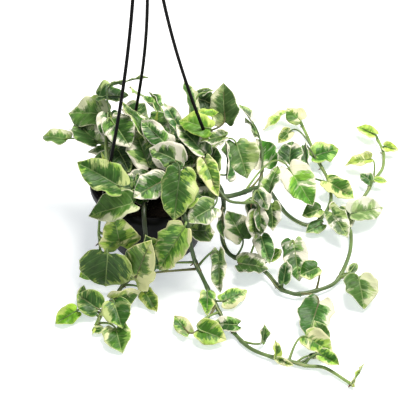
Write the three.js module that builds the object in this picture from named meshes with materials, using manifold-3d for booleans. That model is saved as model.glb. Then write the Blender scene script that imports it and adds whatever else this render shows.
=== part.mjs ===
// A variegated pothos in a black nursery pot with a three-strand hanger. The pot stands on a table:
// short shoots crowd above the rim, and long stems hang over it and lie along the table.
// Millimetres, +Z up. The origin is the middle of the pot's underside, and -Y is the side seen first.
import * as THREE from "three";
import { mergeVertices } from "three/addons/utils/BufferGeometryUtils.js";
import Module from "manifold-3d";

const wasm = await Module();
wasm.setup();

// Pot: a thin moulded nursery pot, six inches across the rim.
const RIM_RADIUS = 75;
const POT_HEIGHT = 92;
const BASE_RADIUS = 54;
const NECK_RADIUS = 69;
const LIP_HEIGHT = 11;
const LIP_WALL = 3.2;
const EDGE_ROUND = 1.4;
const WALL = 1.8;
const FLOOR = 4.2;
const POT_SIDES = 36;
const DRAIN_RING = 40;
const DRAIN_RADIUS = 3.5;
const DRAIN_COUNT = 6;
const DRAIN_SIDES = 8;

// Soil: fills the pot to a little under the rim.
const SOIL_TOP = 78;
const SOIL_HEAP = 2;
const SOIL_SIDES = 28;
const HOLE_SIDES = 6;
const BURIED_PLACES = 4;

// Hanger: three strands that clip over the lip and meet in a hub under a hook.
const STRAND_RADIUS = 1.9;
const STRAND_ANGLES = [223, 113, 15];
const STRAND_SWAY = [7, 12, -10];
const STRAND_CURVE = 1.2;
const STRAND_STEPS = 16;
const STRAND_SIDES = 6;
const STRAND_FOOT_RADIUS = 76.5;
const STRAND_FOOT_LIFT = 5;
const STRAND_TOP_RADIUS = 5.2;
const HUB_BOTTOM = 468;
const HUB_HEIGHT = 11;
const HUB_RADIUS = 9;
const HUB_SIDES = 24;
const HOOK_RADIUS = 13;
const HOOK_WIRE = 2.6;
const HOOK_SHANK = 8;
const HOOK_SWEEP = 250;
const HOOK_STEPS = 16;
const HOOK_SIDES = 8;
const CLIP_WIDTH = 7;
const CLIP_WALL = 1.4;

// Leaves: a heart-shaped blade, folded along its midrib, with a waved edge.
const BLADE_THICKNESS = 0.85;
const HALF_WIDTH = 0.37;
const LOBE_BACK = 0.1;
const ARCH = 0.16;
const FOLD = 0.3;
const FOLD_SPREAD = 0.12;
const WAVE = 0.035;
const WAVES = 1.4;
const WAVE_OFFSET = 1.1;
const WAVE_STEP = 1.7;
const PETIOLE_RADIUS = 1.15;
const STEM_SIDES = 5;
const PETIOLE_SIDES = 3;
const STEM_STEP = 16;

// Neighbours stay this far apart, and a cut leaf keeps its shape to within the second length.
const CLEARANCE = 0.35;
const FLAT_WITHIN = 0.25;

// The light comes from in front and above, and every leaf turns its face towards it. A leaf that would
// cut through a neighbour is moved along this line, nearer or farther, until the two lie clear.
const LIGHT = new THREE.Vector3(0, -0.743, 0.669);
const FACE = new THREE.Vector3(0, -0.4, 0.917);
const SHIFT_STEP = 2;
const SHIFT_COUNT = 7;
const LAYER_GAP = 2.2;

// Each stem has a route, from its foot in the soil to its tip, and the radius at both ends. Each leaf on it
// has its place along the route, counted in route points, the point where its stalk meets the blade,
// its tip, how far its face is rolled away from the light in degrees, its breadth and its colour.
const STEMS = {
  trail_front: {
    radii: [3, 1.8],
    route: [[22, -22, 64], [25, -36, 90], [38, -80, 101], [43, -86, 69], [46, -88, 54], [50, -91, 38],
      [60, -97, 14], [70, -118, 6], [80, -142, 4], [95, -169, 4], [110, -188, 4], [131, -200, 4.5],
      [156, -208, 4.5], [171, -213, 4], [190, -216, 4], [211, -233, 3.5], [217, -239, 3.5]],
    leaves: [[5.2, [76, -74, 42], [78, -110, 10], 20, 0.5, "mixed"],
      [6.3, [63, -109, 10], [63, -139, 4], 0, 0.8, "mixed"],
      [7, [80, -123, 9], [109, -107, 11], 0, 0.9, "mixed"],
      [7.3, [43, -169, 6], [26, -146, 10], 0, 0.8, "lime"],
      [7.7, [53, -163, 7], [84, -175, 4], 0, 1.1, "lime"],
      [8.8, [97, -160, 10], [67, -163, 16], 0, 0.8, "mixed"],
      [9.4, [123, -184, 8], [126, -170, 24], 60, 0.8, "green"],
      [11.1, [138, -206, 7], [137, -187, 16], 30, 0.6, "lime"],
      [11.3, [140, -203, 7], [155, -212, 6], 30, 0.6, "lime"],
      [11.8, [171, -180, 14], [200, -201, 8], 0, 0.9, "lime"],
      [12.4, [192, -182, 12], [181, -164, 22], 0, 0.9, "green"],
      [12.8, [184, -197, 6], [205, -209, 3], 0, 0.8, "cream"],
      [12.2, [174, -202, 7], [184, -203, 8], 0, 0.9, "dark"],
      [15.6, [217, -236, 5], [232, -216, 14], 75, 0.4, "lime"],
      [4.9, [5, -83, 22], [-6, -83, 76], 0, 0.8, "lime"],
      [5.3, [-20, -97, 16], [1, -91, 75], 0, 0.92, "fresh"],
      [2.2, [38, -82, 86], [8, -87, 24], 0, 0.68, "fresh"],
      [2.5, [44, -84, 84], [71, -66, 63], 0, 1.1, "mixed"]],
  },
  trail_loop: {
    radii: [3, 2],
    route: [[38, -14, 64], [44, -15, 92], [60, -19, 104], [76, -25, 99], [82, -28, 76], [80, -27, 51],
      [80, -27, 31], [82, -32, 15], [89, -46, 10], [102, -55, 9], [118, -63, 9], [133, -78, 9],
      [146, -100, 8], [158, -107, 7], [169, -109, 7], [193, -102, 7], [211, -91, 7], [222, -72, 8],
      [233, -42, 9], [237, -14, 9], [236, 6, 9], [243, 33, 8], [259, 58, 7], [267, 72, 7], [274, 89, 7],
      [281, 99, 7], [291, 117, 7], [295, 142, 7], [294, 160, 7], [290, 176, 8]],
    leaves: [[8.6, [105, -45, 33], [86, -17, 52], 0, 1.1, "dark"],
      [4.4, [80, -51, 78], [82, -69, 56], 40, 0.5, "cream"],
      [9.2, [99, -71, 18], [134, -77, 16], -20, 1.1, "dark"],
      [9.6, [126, -44, 36], [136, -71, 18], 0, 0.85, "mixed"],
      [10.4, [137, -66, 20], [150, -53, 24], 0, 0.9, "green"],
      [12.2, [164, -52, 36], [169, -95, 14], 10, 0.8, "mixed"],
      [11.8, [150, -100, 16], [155, -76, 28], 0, 0.75, "dark"],
      [14.8, [190, -83, 24], [169, -91, 19], 0, 1.25, "green"],
      [14, [190, -126, 14], [173, -177, 6], 0, 0.85, "fresh"],
      [16.4, [237, -92, 18], [241, -132, 7], 0, 1.15, "green"],
      [16.8, [228, -84, 16], [238, -69, 18], 0, 0.8, "pale"],
      [19.4, [215, 13, 22], [231, -27, 18], 0, 0.8, "cream"],
      [20.2, [238, 14, 19], [281, 32, 14], 0, 0.9, "pale"],
      [20.6, [228, 31, 16], [238, -10, 20], 0, 0.9, "cream"],
      [23.3, [271, 81, 14], [258, 94, 16], 0, 0.9, "pale"],
      [23.6, [277, 86, 13], [292, 82, 13], 0, 0.9, "lime"],
      [24.2, [274, 116, 22], [242, 121, 8], 20, 0.7, "lime"],
      [27.2, [296, 153, 14], [315, 147, 12], 0, 1, "lime"],
      [28.7, [287, 178, 14], [264, 196, 12], 0, 0.8, "lime"]],
  },
  trail_right: {
    radii: [3.1, 2.1],
    route: [[34, -6, 64], [42, -8, 92], [58, -24, 107], [79, -41, 98], [98, -31, 91], [120, -3, 76],
      [136, 14, 58], [147, 17, 38], [160, 13, 20], [176, 7, 11], [189, 5, 9], [200, 14, 9], [211, 31, 9],
      [218, 52, 8], [219, 72, 8], [217, 95, 8], [210, 121, 8], [203, 152, 8], [196, 186, 8], [190, 210, 9]],
    leaves: [[4.6, [131, 46, 66], [123, 82, 82], 0, 1.3, "cream"],
      [5.2, [124, 96, 76], [111, 119, 88], 40, 0.8, "dark"],
      [5.4, [118, 113, 84], [102, 135, 97], 40, 0.7, "green"],
      [4.4, [162, 53, 60], [191, 12, 34], 0, 0.9, "halved"],
      [14.6, [167, 99, 28], [172, 131, 40], -10, 1.2, "olive"],
      [15.8, [189, 136, 28], [194, 105, 16], 40, 0.5, "dark"],
      [16.8, [174, 177, 20], [157, 164, 10], 0, 0.9, "lime"],
      [16.1, [199, 128, 16], [235, 142, 18], 0, 1, "fresh"],
      [14.3, [215, 78, 16], [246, 49, 14], 0, 0.85, "fresh"],
      [18.6, [189, 202, 18], [171, 223, 24], 0, 1.2, "lime"],
      [18.9, [173, 222, 20], [138, 197, 6], 40, 0.4, "lime"],
      [11.2, [202, 20, 22], [179, 12, 18], 0, 1.15, "dark"],
      [10.6, [204, 5, 12], [183, -6, 7], 0, 0.9, "green"]],
  },
  trail_left: {
    radii: [3, 2.1],
    route: [[-6, -40, 64], [-7, -48, 90], [-8, -67, 102], [-7, -83, 92], [-6, -88, 63], [-13, -88, 38],
      [-26, -88, 12], [-36, -98, 7], [-43, -111, 4.5], [-54, -130, 4], [-59, -144, 3.5], [-61, -154, 3.5]],
    leaves: [[8.2, [-46, -120, 10], [-13, -113, 16], 45, 0.9, "lime"],
      [6.8, [-9, -108, 10], [6, -134, 4], 0, 0.75, "lime"],
      [8.4, [-41, -129, 14], [-31, -159, 6], 0, 1.2, "dark"],
      [9.1, [-60, -136, 10], [-85, -119, 17], 0, 1.2, "green"],
      [9.4, [-83, -118, 6], [-79, -100, 12], 30, 0.8, "pale"],
      [9.8, [-84, -138, 10], [-107, -152, 4], 0, 1, "lime"],
      [10.6, [-39, -163, 8], [-30, -196, 5], 0, 1.15, "green"],
      [10.8, [-54, -162, 6], [-66, -163, 5], 0, 1, "pale"]],
  },
  rim_left: {
    radii: [2.2, 1.4],
    route: [[-26, -22, 64], [-30, -30, 90], [-42, -52, 104], [-55, -66, 98], [-60, -71, 72], [-60, -74, 46]],
    leaves: [[1.8, [-19, -63, 105], [-70, -70, 92], 0, 0.8, "mixed"],
      [4.6, [-64, -84, 34], [-85, -87, 12], 0, 1.1, "lime"],
      [4.3, [-49, -94, 58], [-54, -101, 11], 0, 1.6, "green"],
      [4.1, [-36, -80, 55], [-42, -73, 99], 0, 1.25, "green"]],
  },
  rim_right: {
    radii: [2.2, 1.4],
    route: [[44, 4, 64], [50, -4, 92], [66, -22, 106], [84, -48, 99], [100, -47, 92], [119, -35, 82],
      [128, -33, 72]],
    leaves: [[4.9, [134, -12, 72], [147, 21, 90], -30, 0.75, "green"],
      [4.3, [113, -29, 76], [116, -45, 62], 0, 0.8, "dark"],
      [4.7, [121, -15, 82], [133, -34, 70], 0, 1, "dark"],
      [5.2, [123, -38, 72], [127, -56, 52], 0, 0.75, "cream"],
      [5.6, [138, -26, 72], [139, -51, 52], 0, 0.8, "mixed"]],
  },
  shoot_back_left: {
    radii: [2, 1.4],
    route: [[-30, 28, 64], [-32, 31, 92], [-38, 37, 112], [-44, 42, 126]],
    leaves: [[1.4, [-107, 62, 97], [-138, 76, 91], 30, 1.2, "green"],
      [2.4, [-58, 74, 126], [-107, 95, 112], -10, 0.92, "green"],
      [2.8, [-66, 80, 147], [-31, 83, 147], -24, 1.15, "deep"],
      [2.9, [-49, 86, 158], [-6, 92, 165], -65, 0.6, "green"],
      [2, [-66, 39, 110], [-99, 80, 108], 10, 0.9, "fresh"],
      [1.6, [-48, 52, 104], [-72, 74, 96], 0, 0.95, "dark"]],
  },
  shoot_left: {
    radii: [2, 1.4],
    route: [[-44, 2, 64], [-47, 1, 92], [-52, -2, 106], [-54, -4, 114]],
    leaves: [[1.6, [-51, 35, 104], [-79, 35, 99], 30, 0.8, "cream"],
      [2.6, [-53, 56, 140], [-48, 22, 121], 0, 1, "dark"],
      [2.8, [-50, 55, 132], [-26, 20, 118], 0, 1, "dark"],
      [2.2, [-42, 24, 112], [-27, -7, 104], 0, 1, "dark"],
      [2.6, [-32, -58, 124], [-81, -33, 139], 0, 0.85, "fresh"],
      [1.5, [-5, -15, 102], [-39, -28, 99], 0, 0.8, "cream"],
      [1.2, [-36, 22, 94], [-8, 26, 92], 0, 1, "green"]],
  },
  shoot_back: {
    radii: [2, 1.4],
    route: [[-6, 34, 64], [-6, 37, 92], [-3, 42, 114], [1, 46, 130]],
    leaves: [[2.5, [-5, 62, 130], [19, 37, 122], 0, 0.9, "dark"],
      [2.4, [-9, 30, 124], [-38, 65, 150], 40, 0.5, "deep"],
      [2.7, [-34, 71, 138], [-7, 57, 134], -10, 1, "cream"],
      [2.6, [19, 45, 128], [-31, 101, 150], 52, 0.5, "deep"],
      [2.9, [6, 72, 140], [-7, 89, 148], 50, 0.6, "mixed"],
      [2.2, [18, 10, 128], [-14, 45, 138], 0, 0.62, "mixed"],
      [1.6, [-12, 56, 108], [-20, 92, 104], 0, 1, "green"],
      [1.4, [12, 54, 102], [28, 90, 94], 0, 0.95, "mixed"]],
  },
  shoot_right_back: {
    radii: [2, 1.4],
    route: [[26, 32, 64], [28, 36, 92], [36, 41, 110], [46, 46, 122]],
    leaves: [[2, [60, 2, 124], [27, 36, 138], 10, 0.75, "mixed"],
      [2.4, [31, 42, 127], [12, 70, 146], 0, 0.55, "cream"],
      [2.6, [49, 48, 142], [36, 78, 172], 40, 0.65, "deep"],
      [2.8, [49, 66, 158], [74, 63, 148], 0, 1.25, "deep"],
      [2.9, [58, 71, 160], [71, 74, 162], -20, 0.8, "deep"],
      [2.7, [84, 55, 128], [82, 84, 165], -15, 0.9, "fresh"],
      [2.3, [66, 25, 141], [30, 45, 138], 0, 0.9, "lime"],
      [2.5, [53, 50, 142], [76, 58, 140], -20, 0.7, "lime"],
      [2.2, [84, 10, 144], [54, 8, 137], 15, 0.85, "mixed"],
      [1.5, [50, 52, 102], [84, 62, 94], 0, 0.95, "dark"]],
  },
  shoot_right: {
    radii: [2, 1.4],
    route: [[20, 8, 64], [24, 8, 92], [36, 4, 104], [48, 0, 109]],
    leaves: [[2.9, [97, 40, 110], [110, -2, 90], 0, 1, "green"],
      [2.4, [51, 8, 114], [31, -7, 110], 0, 0.9, "mixed"],
      [2.7, [85, -10, 98], [84, 31, 120], 75, 0.6, "cream"],
      [2.2, [53, -57, 98], [35, -82, 98], 0, 0.9, "dark"],
      [2.5, [71, -52, 90], [40, -74, 86], 0, 1, "dark"],
      [2.6, [68, -50, 96], [46, -35, 100], 0, 1.1, "mixed"],
      [2.8, [60, -5, 120], [75, -42, 97], 10, 0.62, "lime"],
      [2.9, [61, -10, 105], [74, 14, 123], 0, 1.05, "deep"]],
  },
  shoot_centre: {
    radii: [2, 1.4],
    route: [[2, -8, 64], [2, -8, 92], [5, -9, 106], [9, -10, 116]],
    leaves: [[2.2, [-4, -8, 112], [-22, 36, 132], 0, 0.9, "cream"],
      [2.4, [29, -12, 114], [-1, 15, 116], 0, 0.9, "cream"],
      [2.8, [34, -10, 119], [-3, 2, 131], 0, 0.95, "mixed"],
      [1.6, [15, -34, 115], [-19, -60, 111], 0, 0.95, "mixed"],
      [1.5, [28, -51, 104], [25, -78, 98], 0, 0.9, "cream"],
      [1.4, [50, -52, 104], [31, -63, 98], 0, 0.9, "lime"],
      [2.6, [33, -34, 128], [26, -74, 90], 0, 0.92, "fresh"],
      [1.3, [10, 18, 98], [34, 18, 98], 0, 1, "dark"],
      [1.2, [-18, -26, 94], [-8, -54, 92], 0, 1, "dark"]],
  },
};
const POT_COLOUR = 0x17181a;
const SOIL_COLOUR = 0x2b211a;
const HANGER_COLOUR = 0x0d0d0e;
const LEAF_COLOURS = {
  dark: 0x2f5a35, green: 0x5f9a3f, mixed: 0x7fa865, cream: 0xd9dcb0,
  lime: 0x9cc23c, pale: 0x9db47c, olive: 0x6f9a68, deep: 0x4a7a3c, fresh: 0x7cab54,
};

const group = new THREE.Group();

function addMesh(name, geometry, colour, roughness) {
  const material = new THREE.MeshStandardMaterial({ color: colour, roughness, metalness: 0 });
  const mesh = new THREE.Mesh(geometry, material);
  mesh.name = name;
  group.add(mesh);
}

// Solids that can be joined and cut
function solidOfTriangles(points, triangles) {
  return new wasm.Manifold(new wasm.Mesh({
    numProp: 3,
    vertProperties: new Float32Array(points.flat()),
    triVerts: new Uint32Array(triangles.flat()),
  }));
}

function solidOfGeometry(source) {
  const geometry = source.clone();
  geometry.deleteAttribute("normal");
  geometry.deleteAttribute("uv");
  const merged = mergeVertices(geometry, 1e-4);
  return new wasm.Manifold(new wasm.Mesh({
    numProp: 3,
    vertProperties: new Float32Array(merged.attributes.position.array),
    triVerts: new Uint32Array(merged.index.array),
  }));
}

function geometryOfSolid(solid) {
  const mesh = solid.getMesh();
  const positions = new Float32Array(mesh.vertProperties);
  const geometry = new THREE.BufferGeometry();
  geometry.setAttribute("position", new THREE.BufferAttribute(positions, mesh.numProp));
  geometry.setIndex(new THREE.BufferAttribute(new Uint32Array(mesh.triVerts), 1));
  geometry.computeVertexNormals();
  return geometry;
}

function joined(solids) {
  return solids.reduce((sum, next) => sum.add(next));
}

// The largest piece, with splinters of faces merged: a scrap that a cut leaves loose is dropped.
function wholePiece(solid) {
  const largest = solid.decompose().sort((a, b) => b.volume() - a.volume())[0];
  return largest.asOriginal().simplify(FLAT_WITHIN);
}

const ANY_SIDEWAYS = new THREE.Vector3(0.31, 0.83, 0.46);

// A closed round bar through a list of points, with a radius at each and a flat cap at both ends
function bar(points, radii, sides) {
  const corners = [];
  const triangles = [];
  let across = ANY_SIDEWAYS;
  points.forEach((point, i) => {
    const before = points[Math.max(i - 1, 0)];
    const after = points[Math.min(i + 1, points.length - 1)];
    const along = after.clone().sub(before).normalize();
    across = across.clone().addScaledVector(along, -across.dot(along)).normalize();
    const up = along.clone().cross(across);
    for (let k = 0; k < sides; k++) {
      const turn = (2 * Math.PI * k) / sides;
      const corner = point.clone().addScaledVector(across, radii[i] * Math.cos(turn));
      corners.push(corner.addScaledVector(up, radii[i] * Math.sin(turn)).toArray());
    }
  });
  const last = (points.length - 1) * sides;
  for (let i = 0; i < points.length - 1; i++) {
    for (let k = 0; k < sides; k++) {
      const a = i * sides + k;
      const b = i * sides + ((k + 1) % sides);
      triangles.push([a, b, b + sides], [a, b + sides, a + sides]);
    }
  }
  for (let k = 1; k < sides - 1; k++) {
    triangles.push([0, k + 1, k], [last, last + k, last + k + 1]);
  }
  return solidOfTriangles(corners, triangles);
}

// Stems
function vector(list) {
  return new THREE.Vector3(list[0], list[1], list[2]);
}

function routePoint(route, at) {
  const i = Math.min(Math.floor(at), route.length - 2);
  const f = at - i;
  const a = route[Math.max(i - 1, 0)];
  const b = route[i];
  const c = route[i + 1];
  const d = route[Math.min(i + 2, route.length - 1)];
  const smooth = (k) => 0.5 * (2 * b[k] + (c[k] - a[k]) * f
    + (2 * a[k] - 5 * b[k] + 4 * c[k] - d[k]) * f * f
    + (3 * b[k] - a[k] - 3 * c[k] + d[k]) * f * f * f);
  return new THREE.Vector3(smooth(0), smooth(1), smooth(2));
}

function stemRadius(stem, at) {
  const share = at / (stem.route.length - 1);
  return stem.radii[0] + (stem.radii[1] - stem.radii[0]) * share;
}

function stemPlaces(stem, step) {
  const places = [];
  for (let i = 0; i < stem.route.length - 1; i++) {
    const span = vector(stem.route[i]).distanceTo(vector(stem.route[i + 1]));
    const parts = Math.max(1, Math.round(span / step));
    for (let k = 0; k < parts; k++) {
      places.push(i + k / parts);
    }
  }
  places.push(stem.route.length - 1);
  return places;
}

function stemSolid(stem, grown) {
  const places = stemPlaces(stem, STEM_STEP);
  const points = places.map((at) => routePoint(stem.route, at));
  return bar(points, places.map((at) => stemRadius(stem, at) + grown), STEM_SIDES);
}

// Leaf blades. Along the blade u runs from the stalk, 0, to the tip, 1, and v across it from -1 to 1.
// Half of the outline is a rounded heart at the stalk, widest near a third of the way, and then tapers.
const WIDEST = 0.3;
const HEART = 0.42;

function halfOutline(u) {
  if (u < WIDEST) {
    return HEART + (1 - HEART) * Math.sqrt(1 - (1 - u / WIDEST) ** 2);
  }
  const past = (u - WIDEST) / (1 - WIDEST);
  return (1 - past ** 2.1) ** 0.9 * (1 - 0.15 * u ** 6);
}

function makeLeaf(row, number) {
  const [at, base, tip, roll, breadth, look] = row;
  const leaf = { at, look, number, base: vector(base), tip: vector(tip) };
  const along = leaf.tip.clone().sub(leaf.base);
  leaf.length = along.length();
  leaf.along = along.normalize();
  leaf.face = FACE.clone().addScaledVector(leaf.along, -FACE.dot(leaf.along)).normalize();
  leaf.face.applyAxisAngle(leaf.along, THREE.MathUtils.degToRad(roll));
  leaf.side = leaf.face.clone().cross(leaf.along);
  leaf.half = HALF_WIDTH * breadth * leaf.length;
  leaf.phase = WAVE_STEP * number;
  leaf.fold = FOLD + FOLD_SPREAD * Math.sin(2.4 * number);
  return leaf;
}

function bladeHeight(leaf, u, v) {
  const width = Math.abs(v);
  const sway = Math.sin(2 * Math.PI * WAVES * u + leaf.phase + (v > 0 ? WAVE_OFFSET : 0));
  return ARCH * leaf.length * u * (1 - u) + leaf.half * halfOutline(u) * width * leaf.fold
    + WAVE * leaf.length * width * width * sway;
}

function bladePoint(leaf, u, v, lift, grown) {
  const width = leaf.half * halfOutline(u) + grown;
  const x = leaf.length * (u - LOBE_BACK * (1 - u) ** 3 * Math.abs(v) ** 1.5) + grown * (2 * u - 1);
  return leaf.base.clone()
    .addScaledVector(leaf.along, x)
    .addScaledVector(leaf.side, width * v)
    .addScaledVector(leaf.face, bladeHeight(leaf, u, v) + lift);
}

const BLADE_ROWS = [0, 0.16, 0.42, 0.72];

function bladeSolid(leaf, grown) {
  const top = [];
  BLADE_ROWS.forEach((u) => [-1, 0, 1].forEach((v) => top.push([u, v])));
  top.push([1, 0]);
  const lifts = [BLADE_THICKNESS / 2 + grown, -BLADE_THICKNESS / 2 - grown];
  const corners = lifts.flatMap((lift) => top.map(([u, v]) => bladePoint(leaf, u, v, lift, grown).toArray()));
  const count = top.length;
  const faces = [];
  for (let i = 0; i < BLADE_ROWS.length - 1; i++) {
    for (const k of [0, 1]) {
      const a = 3 * i + k;
      faces.push([a, a + 4, a + 1], [a, a + 3, a + 4]);
    }
  }
  faces.push([count - 4, count - 1, count - 3], [count - 3, count - 1, count - 2]);
  const under = faces.map(([a, b, c]) => [a + count, c + count, b + count]);
  const rim = [0, 1, 2, 5, 8, 11, 12, 9, 6, 3];
  const wall = rim.flatMap((a, i) => {
    const b = rim[(i + 1) % rim.length];
    return [[a, b, b + count], [a, b + count, a + count]];
  });
  return solidOfTriangles(corners, [...faces, ...under, ...wall]);
}

// A leaf stalk leaves the stem upwards, bends over and runs a little way under the midrib.
const STALK_END = 0.1;
const STALK_BEND = 0.3;
const STALK_RISE = 0.12;

function petiolePoint(leaf, stem, t) {
  const root = routePoint(stem.route, leaf.at);
  const end = bladePoint(leaf, STALK_END, 0, 0, 0);
  const reach = root.distanceTo(end);
  const bend = leaf.base.clone().addScaledVector(leaf.along, -STALK_BEND * reach);
  bend.z = Math.max(bend.z, Math.min(root.z, end.z)) + STALK_RISE * reach;
  const point = root.multiplyScalar((1 - t) ** 2);
  return point.addScaledVector(bend, 2 * t * (1 - t)).addScaledVector(end, t * t);
}

const PETIOLE_STEPS = [0, 0.33, 0.66, 1];
const PETIOLE_TAPER = 0.24;

function petioleSolid(leaf, stem, grown) {
  const points = PETIOLE_STEPS.map((t) => petiolePoint(leaf, stem, t));
  const radii = PETIOLE_STEPS.map((t) => PETIOLE_RADIUS * (1 + PETIOLE_TAPER * (0.6 - t)) + grown);
  return bar(points, radii, PETIOLE_SIDES);
}

// Laying the leaves clear of each other
const SAMPLE_U = [0, 0.12, 0.25, 0.4, 0.55, 0.7, 0.85, 1];
const SAMPLE_V = [-1, -0.6, -0.25, 0.25, 0.6, 1];
const PETIOLE_SAMPLES = [0.3, 0.45, 0.6, 0.75, 0.85];
const EDGE_GAP = 1;
const MIDDLE_U = 0.4;
const NEIGHBOUR_REACH = 0.7;
const BAR_STEP = 3;
const STRAND_SAMPLES = 130;

function strandPoint(index, share) {
  const turn = THREE.MathUtils.degToRad(STRAND_ANGLES[index]);
  const spread = (STRAND_FOOT_RADIUS - STRAND_TOP_RADIUS) * (1 - share) ** STRAND_CURVE;
  const radius = STRAND_TOP_RADIUS + spread;
  const sway = STRAND_SWAY[index] * Math.sin(Math.PI * share);
  const foot = POT_HEIGHT + STRAND_FOOT_LIFT;
  const height = foot + (HUB_BOTTOM - CLEARANCE - foot) * share;
  return new THREE.Vector3(radius * Math.cos(turn) + sway, radius * Math.sin(turn), height);
}

function potRadius(z) {
  return BASE_RADIUS + ((NECK_RADIUS - BASE_RADIUS) * z) / (POT_HEIGHT - LIP_HEIGHT);
}

// True where a point is in the table, the pot or the soil, or too near to them
const TABLE_GAP = 1;
const POT_GAP = 2;

function blocked(p) {
  const r = Math.hypot(p.x, p.y);
  const inPot = p.z < SOIL_TOP + SOIL_HEAP + POT_GAP && r < potRadius(p.z) + POT_GAP;
  const atLip = p.z < POT_HEIGHT + POT_GAP && p.z > POT_HEIGHT - LIP_HEIGHT - POT_GAP;
  const inLip = atLip && r > RIM_RADIUS - LIP_WALL - POT_GAP && r < RIM_RADIUS + POT_GAP;
  return p.z < TABLE_GAP || inPot || inLip;
}

// The height of a point over a blade's face, or null beside it
function overBlade(leaf, p) {
  const from = p.clone().sub(leaf.base);
  const u = from.dot(leaf.along) / leaf.length;
  if (u < -LOBE_BACK || u > 1) {
    return null;
  }
  const across = from.dot(leaf.side);
  const half = leaf.half * halfOutline(Math.max(u, 0)) + EDGE_GAP;
  if (Math.abs(across) > half) {
    return null;
  }
  return from.dot(leaf.face) - bladeHeight(leaf, Math.max(u, 0), across / half);
}

function near(leaf, p) {
  const height = overBlade(leaf, p);
  return height !== null && Math.abs(height) < LAYER_GAP;
}

function bladeSamples(leaf) {
  return SAMPLE_U.flatMap((u) => SAMPLE_V.map((v) => bladePoint(leaf, u, v, 0, 0)));
}

// How many sample points of a leaf and its stalk touch what is already there
function touches(leaf, stem, placed, bars) {
  const blade = bladeSamples(leaf);
  const stalk = PETIOLE_SAMPLES.map((t) => petiolePoint(leaf, stem, t));
  let count = blade.filter(blocked).length + stalk.filter(blocked).length;
  const middle = bladePoint(leaf, MIDDLE_U, 0, 0, 0);
  for (const other of placed) {
    if (middle.distanceTo(other.middle) < NEIGHBOUR_REACH * (leaf.length + other.leaf.length)) {
      count += blade.filter((p) => near(other.leaf, p)).length;
      count += other.blade.filter((p) => near(leaf, p)).length;
    }
    count += stalk.filter((p) => near(other.leaf, p)).length;
    count += other.stalk.filter((p) => near(leaf, p)).length;
  }
  const room = bars.filter((p) => p.distanceTo(middle) < leaf.length);
  return count + room.filter((p) => near(leaf, p)).length;
}

function evenShares(count) {
  return Array.from({ length: count + 1 }, (_, i) => i / count);
}

function barSamples() {
  const stems = Object.values(STEMS).flatMap((stem) => {
    const places = stemPlaces(stem, BAR_STEP);
    return places.map((at) => routePoint(stem.route, at));
  });
  const shares = evenShares(STRAND_SAMPLES);
  const strands = STRAND_ANGLES.flatMap((_, i) => shares.map((share) => strandPoint(i, share)));
  return [...stems, ...strands];
}

function layLeaves() {
  const bars = barSamples();
  const placed = [];
  let number = 0;
  for (const stem of Object.values(STEMS)) {
    stem.laid = stem.leaves.map((row) => {
      const leaf = makeLeaf(row, number);
      number += 1;
      const start = leaf.base.clone();
      let best = { count: Infinity, shift: 0 };
      for (let k = 0; k < 2 * SHIFT_COUNT + 1 && best.count > 0; k++) {
        const shift = (k % 2 ? 1 : -1) * Math.ceil(k / 2) * SHIFT_STEP;
        leaf.base = start.clone().addScaledVector(LIGHT, shift);
        const count = touches(leaf, stem, placed, bars);
        if (count < best.count) {
          best = { count, shift };
        }
      }
      leaf.base = start.addScaledVector(LIGHT, best.shift);
      const stalk = PETIOLE_SAMPLES.map((t) => petiolePoint(leaf, stem, t));
      const middle = bladePoint(leaf, MIDDLE_U, 0, 0, 0);
      placed.push({ leaf, stalk, blade: bladeSamples(leaf), middle });
      return leaf;
    });
  }
}

function turned(profile, sides) {
  const lathe = new THREE.LatheGeometry(profile.map(([r, z]) => new THREE.Vector2(r, z)), sides);
  lathe.rotateX(Math.PI / 2);
  return solidOfGeometry(lathe);
}

// The pot: moulded in one piece, with a rolled lip and a ring of drain holes
function potSolid() {
  const shoulder = POT_HEIGHT - LIP_HEIGHT;
  const round = EDGE_ROUND;
  const inside = RIM_RADIUS - LIP_WALL;
  let solid = turned([[0, 0], [BASE_RADIUS - round, 0], [BASE_RADIUS, round], [NECK_RADIUS, shoulder],
    [RIM_RADIUS - round / 2, shoulder + round / 2], [RIM_RADIUS, shoulder + round],
    [RIM_RADIUS, POT_HEIGHT - round], [RIM_RADIUS - round / 2, POT_HEIGHT - round / 4],
    [RIM_RADIUS - round, POT_HEIGHT], [inside + round / 2, POT_HEIGHT], [inside, POT_HEIGHT - round],
    [inside, shoulder + 2 * round], [NECK_RADIUS - WALL, shoulder], [BASE_RADIUS - WALL, FLOOR + round],
    [BASE_RADIUS - WALL - round, FLOOR], [0, FLOOR]], POT_SIDES);
  for (let i = 0; i < DRAIN_COUNT; i++) {
    const turn = (2 * Math.PI * (i + 0.5)) / DRAIN_COUNT;
    const hole = new THREE.CylinderGeometry(DRAIN_RADIUS, DRAIN_RADIUS, 3 * FLOOR, DRAIN_SIDES);
    hole.rotateX(Math.PI / 2);
    hole.translate(DRAIN_RING * Math.cos(turn), DRAIN_RING * Math.sin(turn), 0);
    solid = solid.subtract(solidOfGeometry(hole));
  }
  return solid;
}

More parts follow.
